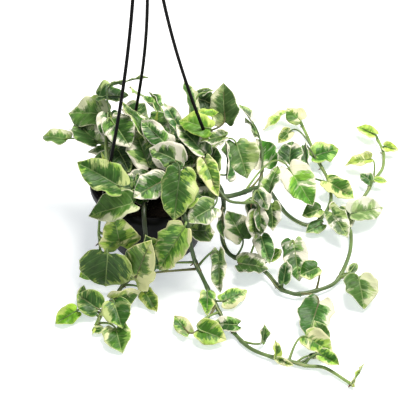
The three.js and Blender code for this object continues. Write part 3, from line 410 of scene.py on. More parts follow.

# Plant: a young variegated pothos, whose shoots crowd above the lip and whose long vines hang over it and lie
# on the table. A stem has the places of its middle line, and its radius in the soil and at its tip. A leaf
# has its place along the stem, the foot and the tip of its blade, its roll, its breadth and its look.
# A leaf that lies in the crown's shade has the look deep, a darker green that is painted shade.
STEMS = {
    "trail_front": {
        "radii": [3, 1.8],
        "route": [[22, -22, 64], [25, -36, 90], [38, -80, 101], [43, -86, 69], [46, -88, 54], [50, -91, 38],
            [60, -97, 14], [70, -118, 6], [80, -142, 4], [95, -169, 4], [110, -188, 4], [131, -200, 4.5],
            [156, -208, 4.5], [171, -213, 4], [190, -216, 4], [211, -233, 3.5], [217, -239, 3.5]],
        "leaves": [[5.2, [76, -74, 42], [78, -110, 10], 20, 0.5, "sage"],
            [6.3, [63, -109, 10], [63, -139, 4], 0, 0.8, "fresh"],
            [7, [80, -123, 9], [109, -107, 11], 0, 0.9, "butter"],
            [7.3, [43, -169, 6], [26, -146, 10], 0, 0.8, "butter"],
            [7.7, [53, -163, 7], [84, -175, 4], 0, 1.1, "fresh"],
            [8.8, [97, -160, 10], [67, -163, 16], 0, 0.8, "mixed"],
            [9.4, [123, -184, 8], [126, -170, 24], 60, 0.8, "mixed"],
            [11.1, [138, -206, 7], [137, -187, 16], 30, 0.6, "spring"],
            [11.3, [140, -203, 7], [155, -212, 6], 30, 0.6, "butter"],
            [11.8, [171, -180, 14], [200, -201, 8], 0, 0.9, "butter"],
            [12.4, [192, -182, 12], [181, -164, 22], 0, 0.9, "green"],
            [12.8, [184, -197, 6], [205, -209, 3], 0, 0.8, "butter"],
            [12.2, [174, -202, 7], [184, -203, 8], 0, 0.9, "dark"],
            [15.6, [217, -236, 5], [232, -216, 14], 75, 0.4, "tip"],
            [4.9, [5, -83, 22], [-6, -83, 76], 0, 0.8, "edged"],
            [5.3, [-20, -97, 16], [1, -91, 75], 0, 0.92, "light"],
            [2.2, [38, -82, 86], [8, -87, 24], 0, 0.68, "light"],
            [2.5, [44, -84, 84], [71, -66, 63], 0, 1.1, "mixed"]],
    },
    "trail_loop": {
        "radii": [3, 2],
        "route": [[38, -14, 64], [44, -15, 92], [60, -19, 104], [76, -25, 99], [82, -28, 76], [80, -27, 51],
            [80, -27, 31], [82, -32, 15], [89, -46, 10], [102, -55, 9], [118, -63, 9], [133, -78, 9],
            [146, -100, 8], [158, -107, 7], [169, -109, 7], [193, -102, 7], [211, -91, 7], [222, -72, 8],
            [233, -42, 9], [237, -14, 9], [236, 6, 9], [243, 33, 8], [259, 58, 7], [267, 72, 7],
            [274, 89, 7], [281, 99, 7], [291, 117, 7], [295, 142, 7], [294, 160, 7], [290, 176, 8]],
        "leaves": [[8.6, [105, -45, 33], [86, -17, 52], 0, 1.1, "plain"],
            [4.4, [80, -51, 78], [82, -69, 56], 40, 0.5, "mixed"],
            [9.2, [99, -71, 18], [134, -77, 16], -20, 1.1, "dark"],
            [9.6, [126, -44, 36], [136, -71, 18], 0, 0.85, "sage"],
            [10.4, [137, -66, 20], [150, -53, 24], 0, 0.9, "green"],
            [12.2, [164, -52, 36], [169, -95, 14], 10, 0.8, "sage"],
            [11.8, [150, -100, 16], [155, -76, 28], 0, 0.75, "dark"],
            [14.8, [190, -83, 24], [169, -91, 19], 0, 1.25, "green"],
            [14, [190, -126, 14], [173, -177, 6], 0, 0.85, "plain"],
            [16.4, [237, -92, 18], [241, -132, 7], 0, 1.15, "olive"],
            [16.8, [228, -84, 16], [238, -69, 18], 0, 0.8, "sage"],
            [19.4, [215, 13, 22], [231, -27, 18], 0, 0.8, "sage"],
            [20.2, [238, 14, 19], [281, 32, 14], 0, 0.9, "pale"],
            [20.6, [228, 31, 16], [238, -10, 20], 0, 0.9, "cream"],
            [23.3, [271, 81, 14], [258, 94, 16], 0, 0.9, "sage"],
            [23.6, [277, 86, 13], [292, 82, 13], 0, 0.9, "tip"],
            [24.2, [274, 116, 22], [242, 121, 8], 20, 0.7, "tip"],
            [27.2, [296, 153, 14], [315, 147, 12], 0, 1, "tip"],
            [28.7, [287, 178, 14], [264, 196, 12], 0, 0.8, "tip"]],
    },
    "trail_right": {
        "radii": [3.1, 2.1],
        "route": [[34, -6, 64], [42, -8, 92], [58, -24, 107], [79, -41, 98], [98, -31, 91], [120, -3, 76],
            [136, 14, 58], [147, 17, 38], [160, 13, 20], [176, 7, 11], [189, 5, 9], [200, 14, 9],
            [211, 31, 9], [218, 52, 8], [219, 72, 8], [217, 95, 8], [210, 121, 8], [203, 152, 8],
            [196, 186, 8], [190, 210, 9]],
        "leaves": [[4.6, [131, 46, 66], [123, 82, 82], 0, 1.3, "halved"],
            [5.2, [124, 96, 76], [111, 119, 88], 40, 0.8, "sage"],
            [5.4, [118, 113, 84], [102, 135, 97], 40, 0.7, "sage"],
            [4.4, [162, 53, 60], [191, 12, 34], 0, 0.9, "bright"],
            [14.6, [167, 99, 28], [172, 131, 40], -10, 1.2, "dark"],
            [15.8, [189, 136, 28], [194, 105, 16], 40, 0.5, "dark"],
            [16.8, [174, 177, 20], [157, 164, 10], 0, 0.9, "butter"],
            [16.1, [199, 128, 16], [235, 142, 18], 0, 1, "fresh"],
            [14.3, [215, 78, 16], [246, 49, 14], 0, 0.85, "fresh"],
            [18.6, [189, 202, 18], [171, 223, 24], 0, 1.2, "butter"],
            [18.9, [173, 222, 20], [138, 197, 6], 40, 0.4, "tip"],
            [11.2, [202, 20, 22], [179, 12, 18], 0, 1.15, "green"],
            [10.6, [204, 5, 12], [183, -6, 7], 0, 0.9, "olive"]],
    },
    "trail_left": {
        "radii": [3, 2.1],
        "route": [[-6, -40, 64], [-7, -48, 90], [-8, -67, 102], [-7, -83, 92], [-6, -88, 63],
            [-13, -88, 38], [-26, -88, 12], [-36, -98, 7], [-43, -111, 4.5], [-54, -130, 4],
            [-59, -144, 3.5], [-61, -154, 3.5]],
        "leaves": [[8.2, [-46, -120, 10], [-13, -113, 16], 45, 0.9, "butter"],
            [6.8, [-9, -108, 10], [6, -134, 4], 0, 0.75, "fresh"],
            [8.4, [-41, -129, 14], [-31, -159, 6], 0, 1.2, "edged"],
            [9.1, [-60, -136, 10], [-85, -119, 17], 0, 1.2, "edged"],
            [9.4, [-83, -118, 6], [-79, -100, 12], 30, 0.8, "green"],
            [9.8, [-84, -138, 10], [-107, -152, 4], 0, 1, "lime"],
            [10.6, [-39, -163, 8], [-30, -196, 5], 0, 1.15, "green"],
            [10.8, [-54, -162, 6], [-66, -163, 5], 0, 1, "green"]],
    },
    "rim_left": {
        "radii": [2.2, 1.4],
        "route": [[-26, -22, 64], [-30, -30, 90], [-42, -52, 104], [-55, -66, 98], [-60, -71, 72],
            [-60, -74, 46]],
        "leaves": [[1.8, [-19, -63, 105], [-70, -70, 92], 0, 0.8, "olive"],
            [4.6, [-64, -84, 34], [-85, -87, 12], 0, 1.1, "lime"],
            [4.3, [-49, -94, 58], [-54, -101, 11], 0, 1.6, "edged"],
            [4.1, [-36, -80, 55], [-42, -73, 99], 0, 1.25, "light"]],
    },
    "rim_right": {
        "radii": [2.2, 1.4],
        "route": [[44, 4, 64], [50, -4, 92], [66, -22, 106], [84, -48, 99], [100, -47, 92], [119, -35, 82],
            [128, -33, 72]],
        "leaves": [[4.9, [134, -12, 72], [147, 21, 90], -30, 0.75, "sage"],
            [4.3, [113, -29, 76], [116, -45, 62], 0, 0.8, "dark"],
            [4.7, [121, -15, 82], [133, -34, 70], 0, 1, "dark"],
            [5.2, [123, -38, 72], [127, -56, 52], 0, 0.75, "cream"],
            [5.6, [138, -26, 72], [139, -51, 52], 0, 0.8, "mixed"]],
    },
    "shoot_back_left": {
        "radii": [2, 1.4],
        "route": [[-30, 28, 64], [-32, 31, 92], [-38, 37, 112], [-44, 42, 126]],
        "leaves": [[1.4, [-107, 62, 97], [-138, 76, 91], 30, 1.2, "olive"],
            [2.4, [-58, 74, 126], [-107, 95, 112], -10, 0.92, "olive"],
            [2.8, [-66, 80, 147], [-31, 83, 147], -24, 1.15, "deep"],
            [2.9, [-49, 86, 158], [-6, 92, 165], -65, 0.6, "deep"],
            [2, [-66, 39, 110], [-99, 80, 108], 10, 0.9, "mixed"],
            [1.6, [-48, 52, 104], [-72, 74, 96], 0, 0.95, "dark"]],
    },
    "shoot_left": {
        "radii": [2, 1.4],
        "route": [[-44, 2, 64], [-47, 1, 92], [-52, -2, 106], [-54, -4, 114]],
        "leaves": [[1.6, [-51, 35, 104], [-79, 35, 99], 30, 0.8, "cream"],
            [2.6, [-53, 56, 140], [-48, 22, 121], 0, 1, "dark"],
            [2.8, [-50, 55, 132], [-26, 20, 118], 0, 1, "dark"],
            [2.2, [-42, 24, 112], [-27, -7, 104], 0, 1, "deep"],
            [2.6, [-32, -58, 124], [-81, -33, 139], 0, 0.85, "edged"],
            [1.5, [-5, -15, 102], [-39, -28, 99], 0, 0.8, "cream"],
            [1.2, [-36, 22, 94], [-8, 26, 92], 0, 1, "green"]],
    },
    "shoot_back": {
        "radii": [2, 1.4],
        "route": [[-6, 34, 64], [-6, 37, 92], [-3, 42, 114], [1, 46, 130]],
        "leaves": [[2.5, [-5, 62, 130], [19, 37, 122], 0, 0.9, "dark"],
            [2.4, [-9, 30, 124], [-38, 65, 150], 40, 0.5, "green"],
            [2.7, [-34, 71, 138], [-7, 57, 134], -10, 1, "cream"],
            [2.6, [19, 45, 128], [-31, 101, 150], 52, 0.5, "green"],
            [2.9, [6, 72, 140], [-7, 89, 148], 50, 0.6, "mixed"],
            [2.2, [18, 10, 128], [-14, 45, 138], 0, 0.62, "mixed"],
            [1.6, [-12, 56, 108], [-20, 92, 104], 0, 1, "green"],
            [1.4, [12, 54, 102], [28, 90, 94], 0, 0.95, "mixed"]],
    },
    "shoot_right_back": {
        "radii": [2, 1.4],
        "route": [[26, 32, 64], [28, 36, 92], [36, 41, 110], [46, 46, 122]],
        "leaves": [[2, [60, 2, 124], [27, 36, 138], 10, 0.75, "mixed"],
            [2.4, [31, 42, 127], [12, 70, 146], 0, 0.55, "cream"],
            [2.6, [49, 48, 142], [36, 78, 172], 40, 0.65, "olive"],
            [2.8, [49, 66, 158], [74, 63, 148], 0, 1.25, "deep"],
            [2.9, [58, 71, 160], [71, 74, 162], -20, 0.8, "mixed"],
            [2.7, [84, 55, 128], [82, 84, 165], -15, 0.9, "olive"],
            [2.3, [66, 25, 141], [30, 45, 138], 0, 0.9, "lime"],
            [2.5, [53, 50, 142], [76, 58, 140], -20, 0.7, "lime"],
            [2.2, [84, 10, 144], [54, 8, 137], 15, 0.85, "sage"],
            [1.5, [50, 52, 102], [84, 62, 94], 0, 0.95, "dark"]],
    },
    "shoot_right": {
        "radii": [2, 1.4],
        "route": [[20, 8, 64], [24, 8, 92], [36, 4, 104], [48, 0, 109]],
        "leaves": [[2.9, [97, 40, 110], [110, -2, 90], 0, 1, "olive"],
            [2.4, [51, 8, 114], [31, -7, 110], 0, 0.9, "mixed"],
            [2.7, [85, -10, 98], [84, 31, 120], 75, 0.6, "cream"],
            [2.2, [53, -57, 98], [35, -82, 98], 0, 0.9, "mixed"],
            [2.5, [71, -52, 90], [40, -74, 86], 0, 1, "sage"],
            [2.6, [68, -50, 96], [46, -35, 100], 0, 1.1, "mixed"],
            [2.8, [60, -5, 120], [75, -42, 97], 10, 0.62, "light"],
            [2.9, [61, -10, 105], [74, 14, 123], 0, 1.05, "deep"]],
    },
    "shoot_centre": {
        "radii": [2, 1.4],
        "route": [[2, -8, 64], [2, -8, 92], [5, -9, 106], [9, -10, 116]],
        "leaves": [[2.2, [-4, -8, 112], [-22, 36, 132], 0, 0.9, "cream"],
            [2.4, [29, -12, 114], [-1, 15, 116], 0, 0.9, "cream"],
            [2.8, [34, -10, 119], [-3, 2, 131], 0, 0.95, "mixed"],
            [1.6, [15, -34, 115], [-19, -60, 111], 0, 0.95, "mixed"],
            [1.5, [28, -51, 104], [25, -78, 98], 0, 0.9, "cream"],
            [1.4, [50, -52, 104], [31, -63, 98], 0, 0.9, "spring"],
            [2.6, [33, -34, 128], [26, -74, 90], 0, 0.92, "edged"],
            [1.3, [10, 18, 98], [34, 18, 98], 0, 1, "dark"],
            [1.2, [-18, -26, 94], [-8, -54, 92], 0, 1, "dark"]],
    },
}

# The photograph's line of sight, and the way that an unrolled blade faces. Then a blade's form, in shares of
# its length: where it is widest, how far it arches, its edge waves and its two lobes reach back, and half its
# breadth. It settles by up to SETTLE_REACH millimetres, judged by marks on it, given as u and v.
SIGHT = Vector((0, -0.743, 0.669))
FACING = Vector((0, -0.4, 0.917))
WIDEST = 0.3
BLADE_ARCH = 0.16
EDGE_WAVE = 0.035
LOBE_DEPTH = 0.1
HALF_BREADTH = 0.37
SETTLE_REACH = 14
SETTLE_MARKS = [(1, 0), (0.72, -1), (0.72, 1), (0.42, -1), (0.42, 1), (0.16, -1), (0.16, 1)]


def route_point(route, at):
    """The place on a stem's middle line, a smooth curve, at a number counted along its points."""
    i = min(int(at), len(route) - 2)
    f = at - i
    a, b, c, d = [Vector(route[min(max(k, 0), len(route) - 1)]) for k in (i - 1, i, i + 1, i + 2)]
    bend = (2 * a - 5 * b + 4 * c - d) * f ** 2 + (3 * b - a - 3 * c + d) * f ** 3
    return (2 * b + (c - a) * f + bend) / 2


def half_outline(u):
    """A share of a blade's half width: a rounded heart at the stalk, 0, then widest, and the tip at 1."""
    if u < WIDEST:
        return 0.42 + 0.58 * math.sqrt(1 - (1 - u / WIDEST) ** 2)
    return (1 - ((u - WIDEST) / (1 - WIDEST)) ** 2.1) ** 0.9 * (1 - 0.15 * u ** 6)


def blade_point(leaf, u, v):
    """A place on a blade, u along it from stalk to tip and v across it from -1 to 1."""
    side = abs(v)
    width = leaf["half"] * half_outline(u)
    reach = leaf["length"] * (u - LOBE_DEPTH * (1 - u) ** 3 * side ** 2 * (3 - 2 * side))
    sway = math.sin(2.8 * math.pi * u + leaf["phase"] + (1.1 if v > 0 else 0))
    height = leaf["length"] * (BLADE_ARCH * u * (1 - u) + EDGE_WAVE * side ** 2 * sway)
    height += leaf["fold"] * width * side
    return leaf["foot"] + leaf["along"] * reach + leaf["across"] * width * v + leaf["face"] * height


def unfold(row, number):
    """A leaf from its row: where it is, how it is turned, how large it is and which way its edge waves."""
    at, foot, tip, roll, breadth, look = row
    span = Vector(tip) - Vector(foot)
    leaf = {"at": at, "look": look, "number": number, "foot": Vector(foot), "along": span.normalized(),
        "length": span.length, "half": HALF_BREADTH * breadth * span.length, "phase": 1.7 * number,
        "fold": 0.3 + 0.12 * math.sin(2.4 * number)}
    upright = (FACING - leaf["along"] * FACING.dot(leaf["along"])).normalized()
    leaf["face"] = Matrix.Rotation(math.radians(roll), 3, leaf["along"]) @ upright
    leaf["across"] = leaf["face"].cross(leaf["along"])
    return leaf


def settle(leaf, solid):
    """Moves a leaf along the line of sight, to where its own solid lies clear of the other leaves."""
    marks = [blade_point(leaf, u, v) for u, v in SETTLE_MARKS]
    misfits = []
    for shift in range(-SETTLE_REACH, SETTLE_REACH + 1, 2):
        gaps = [solid.find((mark + SIGHT * shift) * MM)[2] / MM for mark in marks]
        misfits.append((sum(min(gap, 3) for gap in gaps), shift))
    leaf["foot"] += SIGHT * min(misfits)[1]


number = 0
for name, stem in STEMS.items():
    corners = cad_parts[name].data.vertices
    solid = kdtree.KDTree(len(corners))
    for i, corner in enumerate(corners):
        solid.insert(corner.co, i)
    solid.balance()
    stem["unfolded"] = []
    for row in stem["leaves"]:
        stem["unfolded"].append(unfold(row, number))
        settle(stem["unfolded"][-1], solid)
        number += 1

# Small inner leaves, where the solids have none: a few under the long stems, and the rest deep in the crown.
# Those stand in a spiral round its middle, turned outwards, but not in front, where each leaf has its row.
# The inner leaves are real small leaves, but they wear the darker looks deep and dark as painted shade in the
# gaps of the crown.
INNER_ROWS = {
    "rim_right": [[4.4, [117, -22, 72], [119, -38, 60], 0, 1.1, "deep"],
        [5.1, [121, -38, 70], [118, -60, 47], 0, 0.95, "mixed"]],
    "shoot_right": [[2.4, [41, 8, 117], [25, 28, 124], 0, 0.9, "deep"]],
}
SPIRAL_PLACES = 64
SPIRAL_TURN = 2.4
SPIRAL_START = 8
SPIRAL_STEP = 0.8
CROWN_FRONT = -22
for name, rows in INNER_ROWS.items():
    for row in rows:
        STEMS[name]["unfolded"].append(unfold(row, number))
        number += 1
shoots = [name for name in STEMS if name.startswith("shoot")]
chance = random.Random(7)
for k in range(SPIRAL_PLACES):
    turn = SPIRAL_TURN * k
    away = SPIRAL_START + SPIRAL_STEP * k
    out = Vector((math.cos(turn), math.sin(turn), 0))
    foot = Vector((2, 14, chance.uniform(93, 103))) + out * away
    if foot.y > CROWN_FRONT:
        near = min(shoots, key=lambda name: (Vector(STEMS[name]["route"][1]) - foot).length)
        tip = foot + out * chance.uniform(16, 26) + Vector((0, -6, chance.uniform(-2, 8)))
        # The inner leaves get a dark look, painted shade deep in the crown.
        row = [chance.uniform(1, 1.6), foot, tip, chance.uniform(-25, 25), 1, chance.choice(("deep", "dark"))]
        STEMS[near]["unfolded"].append(unfold(row, number))
        number += 1

# Stems and leaf stalks: soft fleshy green, 2 to 6 mm thick, with cream streaks along them. Each joint is a
# swollen ring where a stalk stands, often with a short brown air root, and a rolled new leaf ends a vine.
# The stem in front of the pot is painted in its shade, and the longest one ends in a leaf that has just
# opened.
STALK_RADIUS = 1.15
STEM_STEPS = 8
STEM_GREEN = linear("#435c37")
# A darker stem green, painted shade for the stem that lies in the pot's shadow.
PAINTED_SHADE_GREEN = linear("#283120")
TIP_GREEN = linear("#93b062")
STALK_GREENS = [linear(tone) for tone in ("#7f9c55", "#648048", "#88a45e", "#566f42", "#6f7048")]
ROOT_BROWN = linear("#6e4027")
ROOT_RADII = [1, 0.95, 0.85, 0.7, 0.4]
BUD_LIME = linear("#b4c960")
BUD_RADII = [1.2, 1.6, 1.9, 1.8, 1.4, 0.8, 0.2]
BUD_LENGTH = 18
SHORT_BUD_LENGTH = 4


def living_stem():
    """Fleshy skin with a soft sheen, tinted bar by bar, with cream streaks and darker blotches along it."""
    streak_length = 28
    streak_width = 1.3
    blotch_size = 9
    finish = new_finish("fleshy_pothos_stem")
    tree = finish.node_tree
    tone = add(tree, "Attribute", attribute_name="tone")
    run = add(tree, "Attribute", attribute_name="run").outputs["Vector"]
    along = add(tree, "Mapping", {"Vector": run,
        "Scale": (1 / streak_length, 1 / streak_width, 1 / streak_width)}).outputs[0]
    streaks = add(tree, "TexNoise", {"Vector": along, "Scale": 1, "Detail": 3})
    cream = add(tree, "MapRange", {"Value": streaks.outputs[0], "From Min": 0.58, "From Max": 0.66,
        "To Max": 0.55}, interpolation_type="SMOOTHSTEP")
    blotches = add(tree, "TexNoise", {"Vector": run, "Scale": 1 / blotch_size, "Detail": 4})
    shade = add(tree, "MapRange", {"Value": blotches.outputs[0], "From Min": 0.3, "From Max": 0.7,
        "To Min": 0.6, "To Max": 1.15})
    shaded = add(tree, "Mix", {0: 1, 6: tone.outputs["Color"], 7: shade.outputs[0]}, data_type="RGBA",
        blend_type="MULTIPLY")
    colour = add(tree, "Mix", {0: cream.outputs[0], 6: shaded.outputs[2], 7: linear("#c3c890")},
        data_type="RGBA")
    relief = add(tree, "Bump", {"Height": streaks.outputs[0], "Strength": 0.3, "Distance": 0.2 * MM})
    skin = add(tree, "BsdfPrincipled", {"Base Color": colour.outputs[2], "Roughness": 0.42,
        "Specular IOR Level": 0.4, "Subsurface Weight": 0.1, "Subsurface Scale": 1 * MM,
        "Normal": relief.outputs[0]})
    add(tree, "OutputMaterial", {"Surface": skin.outputs[0]})
    return finish


def grown_bar(shape, points, radii, sides, tone, end_tone=None):
    """Adds a round bar with its tint at both ends. It keeps each corner's place along and round it."""
    sheet = round_bar(shape, points, radii, sides)
    tint = shape.verts.layers.float_color["tone"]
    run = shape.verts.layers.float_vector["run"]
    step = (points[-1] - points[0]).length / len(points)
    for i, vertex in enumerate(sheet):
        ring, turn = i % (len(points) + 2), i // (len(points) + 2)
        angle = 2 * math.pi * turn / sides
        share = (ring / len(points)) ** 2.5
        vertex[tint] = [a + (b - a) * share for a, b in zip(tone, end_tone or tone)]
        vertex[run] = (ring * step, 2.2 * math.cos(angle), 2.2 * math.sin(angle))


def stalk_line(leaf, route):
    """A leaf stalk's middle line and radii: up from the stem, over, and under the blade as its midrib."""
    root = route_point(route, leaf["at"])
    end = blade_point(leaf, 0.1, 0)
    reach = (end - root).length
    bend = leaf["foot"] - leaf["along"] * 0.3 * reach
    bend.z = max(bend.z, min(root.z, end.z)) + 0.12 * reach
    shares = [i / 12 for i in range(13)]
    line = [root * (1 - t) ** 2 + bend * 2 * t * (1 - t) + end * t ** 2 for t in shares]
    radii = [STALK_RADIUS * (1.14 - 0.24 * t + 0.4 * math.exp(-9 * t)) for t in shares]
    for step in range(1, 8):
        u = 0.1 + 0.1 * step
        radius = STALK_RADIUS * (0.75 - 0.08 * step)
        line.append(blade_point(leaf, u, 0) - leaf["face"] * radius * 0.7)
        radii.append(radius)
    return line, radii


def grow_stem(name, stem, finish):
    """One vine or shoot with its stalks, air roots and new leaf, as one piece."""
    chance = random.Random(len(name) * 31 + len(stem["route"]))
    shape = bmesh.new()
    shape.verts.layers.float_color.new("tone")
    shape.verts.layers.float_vector.new("run")
    route = stem["route"]
    last = len(route) - 1
    places = [i / STEM_STEPS for i in range(STEM_STEPS * last + 1)]
    line = [route_point(route, at) for at in places]
    joints = [route_point(route, leaf["at"]) for leaf in stem["unfolded"]]
    radii = []
    for at, point in zip(places, line):
        gap = min((point - joint).length for joint in joints)
        thick = stem["radii"][0] + (stem["radii"][1] - stem["radii"][0]) * at / last
        radii.append(thick * (0.96 + 0.26 * math.exp(-(gap / 2.6) ** 2)))
    # trail_left's stem starts in painted shade, a darker green where the pot shades it.
    grown_bar(shape, line, radii, 12, PAINTED_SHADE_GREEN if name == "trail_left" else STEM_GREEN, TIP_GREEN)
    for leaf, joint in zip(stem["unfolded"], joints):
        stalk, thickness = stalk_line(leaf, route)
        grown_bar(shape, stalk, thickness, 8, chance.choice(STALK_GREENS))
        for _ in range(chance.choice((0, 1, 1, 2))):
            ahead = (route_point(route, min(leaf["at"] + 0.1, last)) - joint).normalized()
            out = Vector((chance.uniform(-1, 1), chance.uniform(-1, 1), chance.uniform(-1, 0.3)))
            out = (out - ahead * out.dot(ahead)).normalized()
            length = chance.uniform(3.5, 7.5)
            tip = joint + (out + ahead * 0.3) * length
            tip.z = max(tip.z, 1.2)
            peg = [joint.lerp(tip, k / 4) for k in range(5)]
            grown_bar(shape, peg, ROOT_RADII, 6, ROOT_BROWN)
    ahead = (line[-1] - line[-2]).normalized() + Vector((0, 0, 0.25))
    length = SHORT_BUD_LENGTH if name == "trail_front" else BUD_LENGTH
    bud = [line[-1] + ahead * length * k / 6 for k in range(7)]
    grown_bar(shape, bud, BUD_RADII, 8, BUD_LIME)
    bmesh.ops.remove_doubles(shape, verts=shape.verts[:], dist=0.01 * MM)
    bmesh.ops.recalc_face_normals(shape, faces=shape.faces[:])
    make_piece(name + "_stems", shape, [finish], "stem", name, crease=70)


stem_skin = living_stem()
for name, stem in STEMS.items():
    grow_stem(name, stem, stem_skin)

# Leaf blades: waxy and 0.7 mm thick, each grown with its own mix of green, grey-green and cream. The cream
# starts at the margin and runs inwards in streaks beside the side veins. The underside is duller and paler.
BLADE_ROWS = 20
BLADE_COLUMNS = 14
BLADE_THICKNESS = 0.7
VEIN_SPACING = 5.2
EDGE_SIZE = 8
LOBE_SIZE = 10

# A bump has its size and height in millimetres on either side of its layer of the noise, and how it grows
# towards the margin. A pattern has its size along and across the blade, its layer and its detail.
BLADE_BUMPS = [(24, 4, 5, 0.5), (13, 0, 2.2, 0), (6, 9, 0.9, 0)]
PATTERNS = {
    "broad": (11, 24, 7.3, 1),
    "streak": (2.2, 6, 3.1, 4),
    "cloud": (9, 13, 5.9, 3),
    "mottle": (3, 7, 1.7, 4),
}

# A look has its deep green, its fresh green, its pale tone and how far in that reaches. A sided look also
# leans across the blade, or slopes along it.
LOOKS = {
    # deep is painted shade: a darker copy of the greens for leaves that lie in the crown's shade.
    "deep": ("#2f5225", "#446d31", "#a9bd7c", -0.12),
    "dark": ("#355a2c", "#5b8245", "#e2e0cd", -0.01),
    "green": ("#45722f", "#7fa857", "#d3dba4", -0.04),
    "plain": ("#477436", "#769f5a", "#e2e2c6", -0.02),
    "fresh": ("#477a2f", "#92b957", "#d5dc98", 0.01),
    "spring": ("#4d7a3c", "#a0c266", "#d3dd98", 0.03),
    "sage": ("#48703c", "#8aac6c", "#e4e3d0", 0.02),
    "mixed": ("#3a602d", "#7ca258", "#e6e3d0", 0.01),
    "cream": ("#416839", "#85a367", "#e8e4d3", 0.06),
    "edged": ("#3f6b2d", "#8cb252", "#bccb84", -0.1),
    "light": ("#558736", "#9cc35a", "#dfe1a4", 0.06),
    "butter": ("#4f7f38", "#a1c260", "#dfe0b0", 0.08),
    "lime": ("#6ba035", "#9cc44a", "#bdd56c", -0.04),
    "tip": ("#7fa944", "#b3cf6a", "#e3e7b0", 0.12),
    "halved": ("#4c8233", "#74a646", "#e9e6d3", 0.16),
    "bright": ("#62973a", "#8dbb46", "#ebe9cf", 0.1),
    "pale": ("#73945e", "#9ab184", "#dcdfca", 0.07),
    "olive": ("#517a3f", "#83a05f", "#c9cfa8", -0.06),
}
SIDED = {"halved": (0.6, 0), "bright": (0.1, 1.2)}


def waxy_leaf(name, veil, veil_share, roughness):
    """Leaf skin: deep green that breaks up into light green and cream with crisp borders, and fine veins."""
    finish = new_finish(name)
    tree = finish.node_tree
    green = add(tree, "Attribute", attribute_name="green").outputs["Color"]
    fresh = add(tree, "Attribute", attribute_name="fresh").outputs["Color"]
    rim = add(tree, "Attribute", attribute_name="rim").outputs["Fac"]
    pale = add(tree, "Attribute", attribute_name="pale").outputs["Color"]
    border = add(tree, "Attribute", attribute_name="border").outputs["Fac"]
    blade = add(tree, "Attribute", attribute_name="blade").outputs["Vector"]
    grown = {}
    for pattern, (along, across, layer, detail) in PATTERNS.items():
        place = add(tree, "Mapping", {"Vector": blade, "Scale": (1 / along, 1 / across, layer)}).outputs[0]
        grown[pattern] = add(tree, "TexNoise", {"Vector": place, "Scale": 1, "Detail": detail}).outputs[0]

    # Cream: broad patches that grow in from the margin with ragged borders, and a thin seam along it.
    ragged = add(tree, "Math", {0: grown["broad"], 1: 1.9, 2: border}, operation="MULTIPLY_ADD").outputs[0]
    ragged = add(tree, "Math", {0: grown["streak"], 1: 0.7, 2: ragged}, operation="MULTIPLY_ADD").outputs[0]
    patch = add(tree, "MapRange", {"Value": ragged, "From Min": 1.29, "From Max": 1.35},
        interpolation_type="SMOOTHSTEP").outputs[0]
    brink = add(tree, "Math", {0: grown["streak"], 1: 2.4, 2: rim}, operation="MULTIPLY_ADD").outputs[0]
    seam = add(tree, "MapRange", {"Value": brink, "From Min": 2.0, "From Max": 1.6, "To Max": 0.9},
        interpolation_type="SMOOTHSTEP").outputs[0]
    cream = add(tree, "Math", {0: patch, 1: seam}, operation="MAXIMUM").outputs[0]

    # Greens: deep in the middle and fresh towards the margin, mottled, and greyer next to the cream.
    half_way = add(tree, "Math", {0: grown["cloud"], 1: 1.1, 2: border}, operation="MULTIPLY_ADD").outputs[0]
    flecked = add(tree, "Math", {0: grown["streak"], 1: 0.8, 2: half_way},
        operation="MULTIPLY_ADD").outputs[0]
    between = add(tree, "MapRange", {"Value": flecked, "From Min": 0.7, "From Max": 0.8},
        interpolation_type="SMOOTHSTEP").outputs[0]
    greens = add(tree, "Mix", {0: between, 6: green, 7: fresh}, data_type="RGBA").outputs[2]
    shade = add(tree, "MapRange", {"Value": grown["mottle"], "From Min": 0.3, "From Max": 0.7,
        "To Min": 0.66, "To Max": 1.26}).outputs[0]
    core = add(tree, "MapRange", {"Value": half_way, "From Min": -0.1, "From Max": 0.35, "To Min": 0.68},
        interpolation_type="SMOOTHSTEP").outputs[0]
    for darker in (shade, core):
        greens = add(tree, "Mix", {0: 1, 6: greens, 7: darker}, data_type="RGBA",
            blend_type="MULTIPLY").outputs[2]
    halo = add(tree, "MapRange", {"Value": ragged, "From Min": 1.13, "From Max": 1.17, "To Max": 0.26},
        interpolation_type="SMOOTHSTEP").outputs[0]
    greens = add(tree, "Mix", {0: halo, 6: greens, 7: pale}, data_type="RGBA").outputs[2]
    colour = add(tree, "Mix", {0: cream, 6: greens, 7: pale}, data_type="RGBA").outputs[2]

    # Veins: a pale midrib, with side veins that leave it at a slant and lie a little sunken.
    parts = add(tree, "SeparateXYZ", {0: blade})
    ribs = add(tree, "Math", {0: parts.outputs[0], 1: VEIN_SPACING}, operation="PINGPONG").outputs[0]
    side_vein = add(tree, "MapRange", {"Value": ribs, "From Min": 0.8, "From Max": 0, "To Max": 0.13},
        interpolation_type="SMOOTHSTEP").outputs[0]
    off_rib = add(tree, "Math", {0: parts.outputs[1]}, operation="ABSOLUTE").outputs[0]
    midrib = add(tree, "MapRange", {"Value": off_rib, "From Min": 0.9, "From Max": 0.2, "To Max": 0.45},
        interpolation_type="SMOOTHSTEP").outputs[0]
    veins = add(tree, "Math", {0: side_vein, 1: midrib}, operation="MAXIMUM").outputs[0]
    veined = add(tree, "Mix", {0: veins, 6: colour, 7: linear("#b9cf8e")}, data_type="RGBA").outputs[2]
    veiled = add(tree, "Mix", {0: veil_share, 6: veined, 7: linear(veil)}, data_type="RGBA").outputs[2]
    swell = add(tree, "Math", {0: veins, 1: -1.5, 2: grown["mottle"]}, operation="MULTIPLY_ADD").outputs[0]
    relief = add(tree, "Bump", {"Height": swell, "Strength": 0.6, "Distance": 1.3 * MM})
    skin = add(tree, "BsdfPrincipled", {"Base Color": veiled, "Roughness": roughness, "IOR": 1.45,
        "Specular IOR Level": 0.28, "Normal": relief.outputs[0]})
    add(tree, "OutputMaterial", {"Surface": skin.outputs[0]})
    return finish


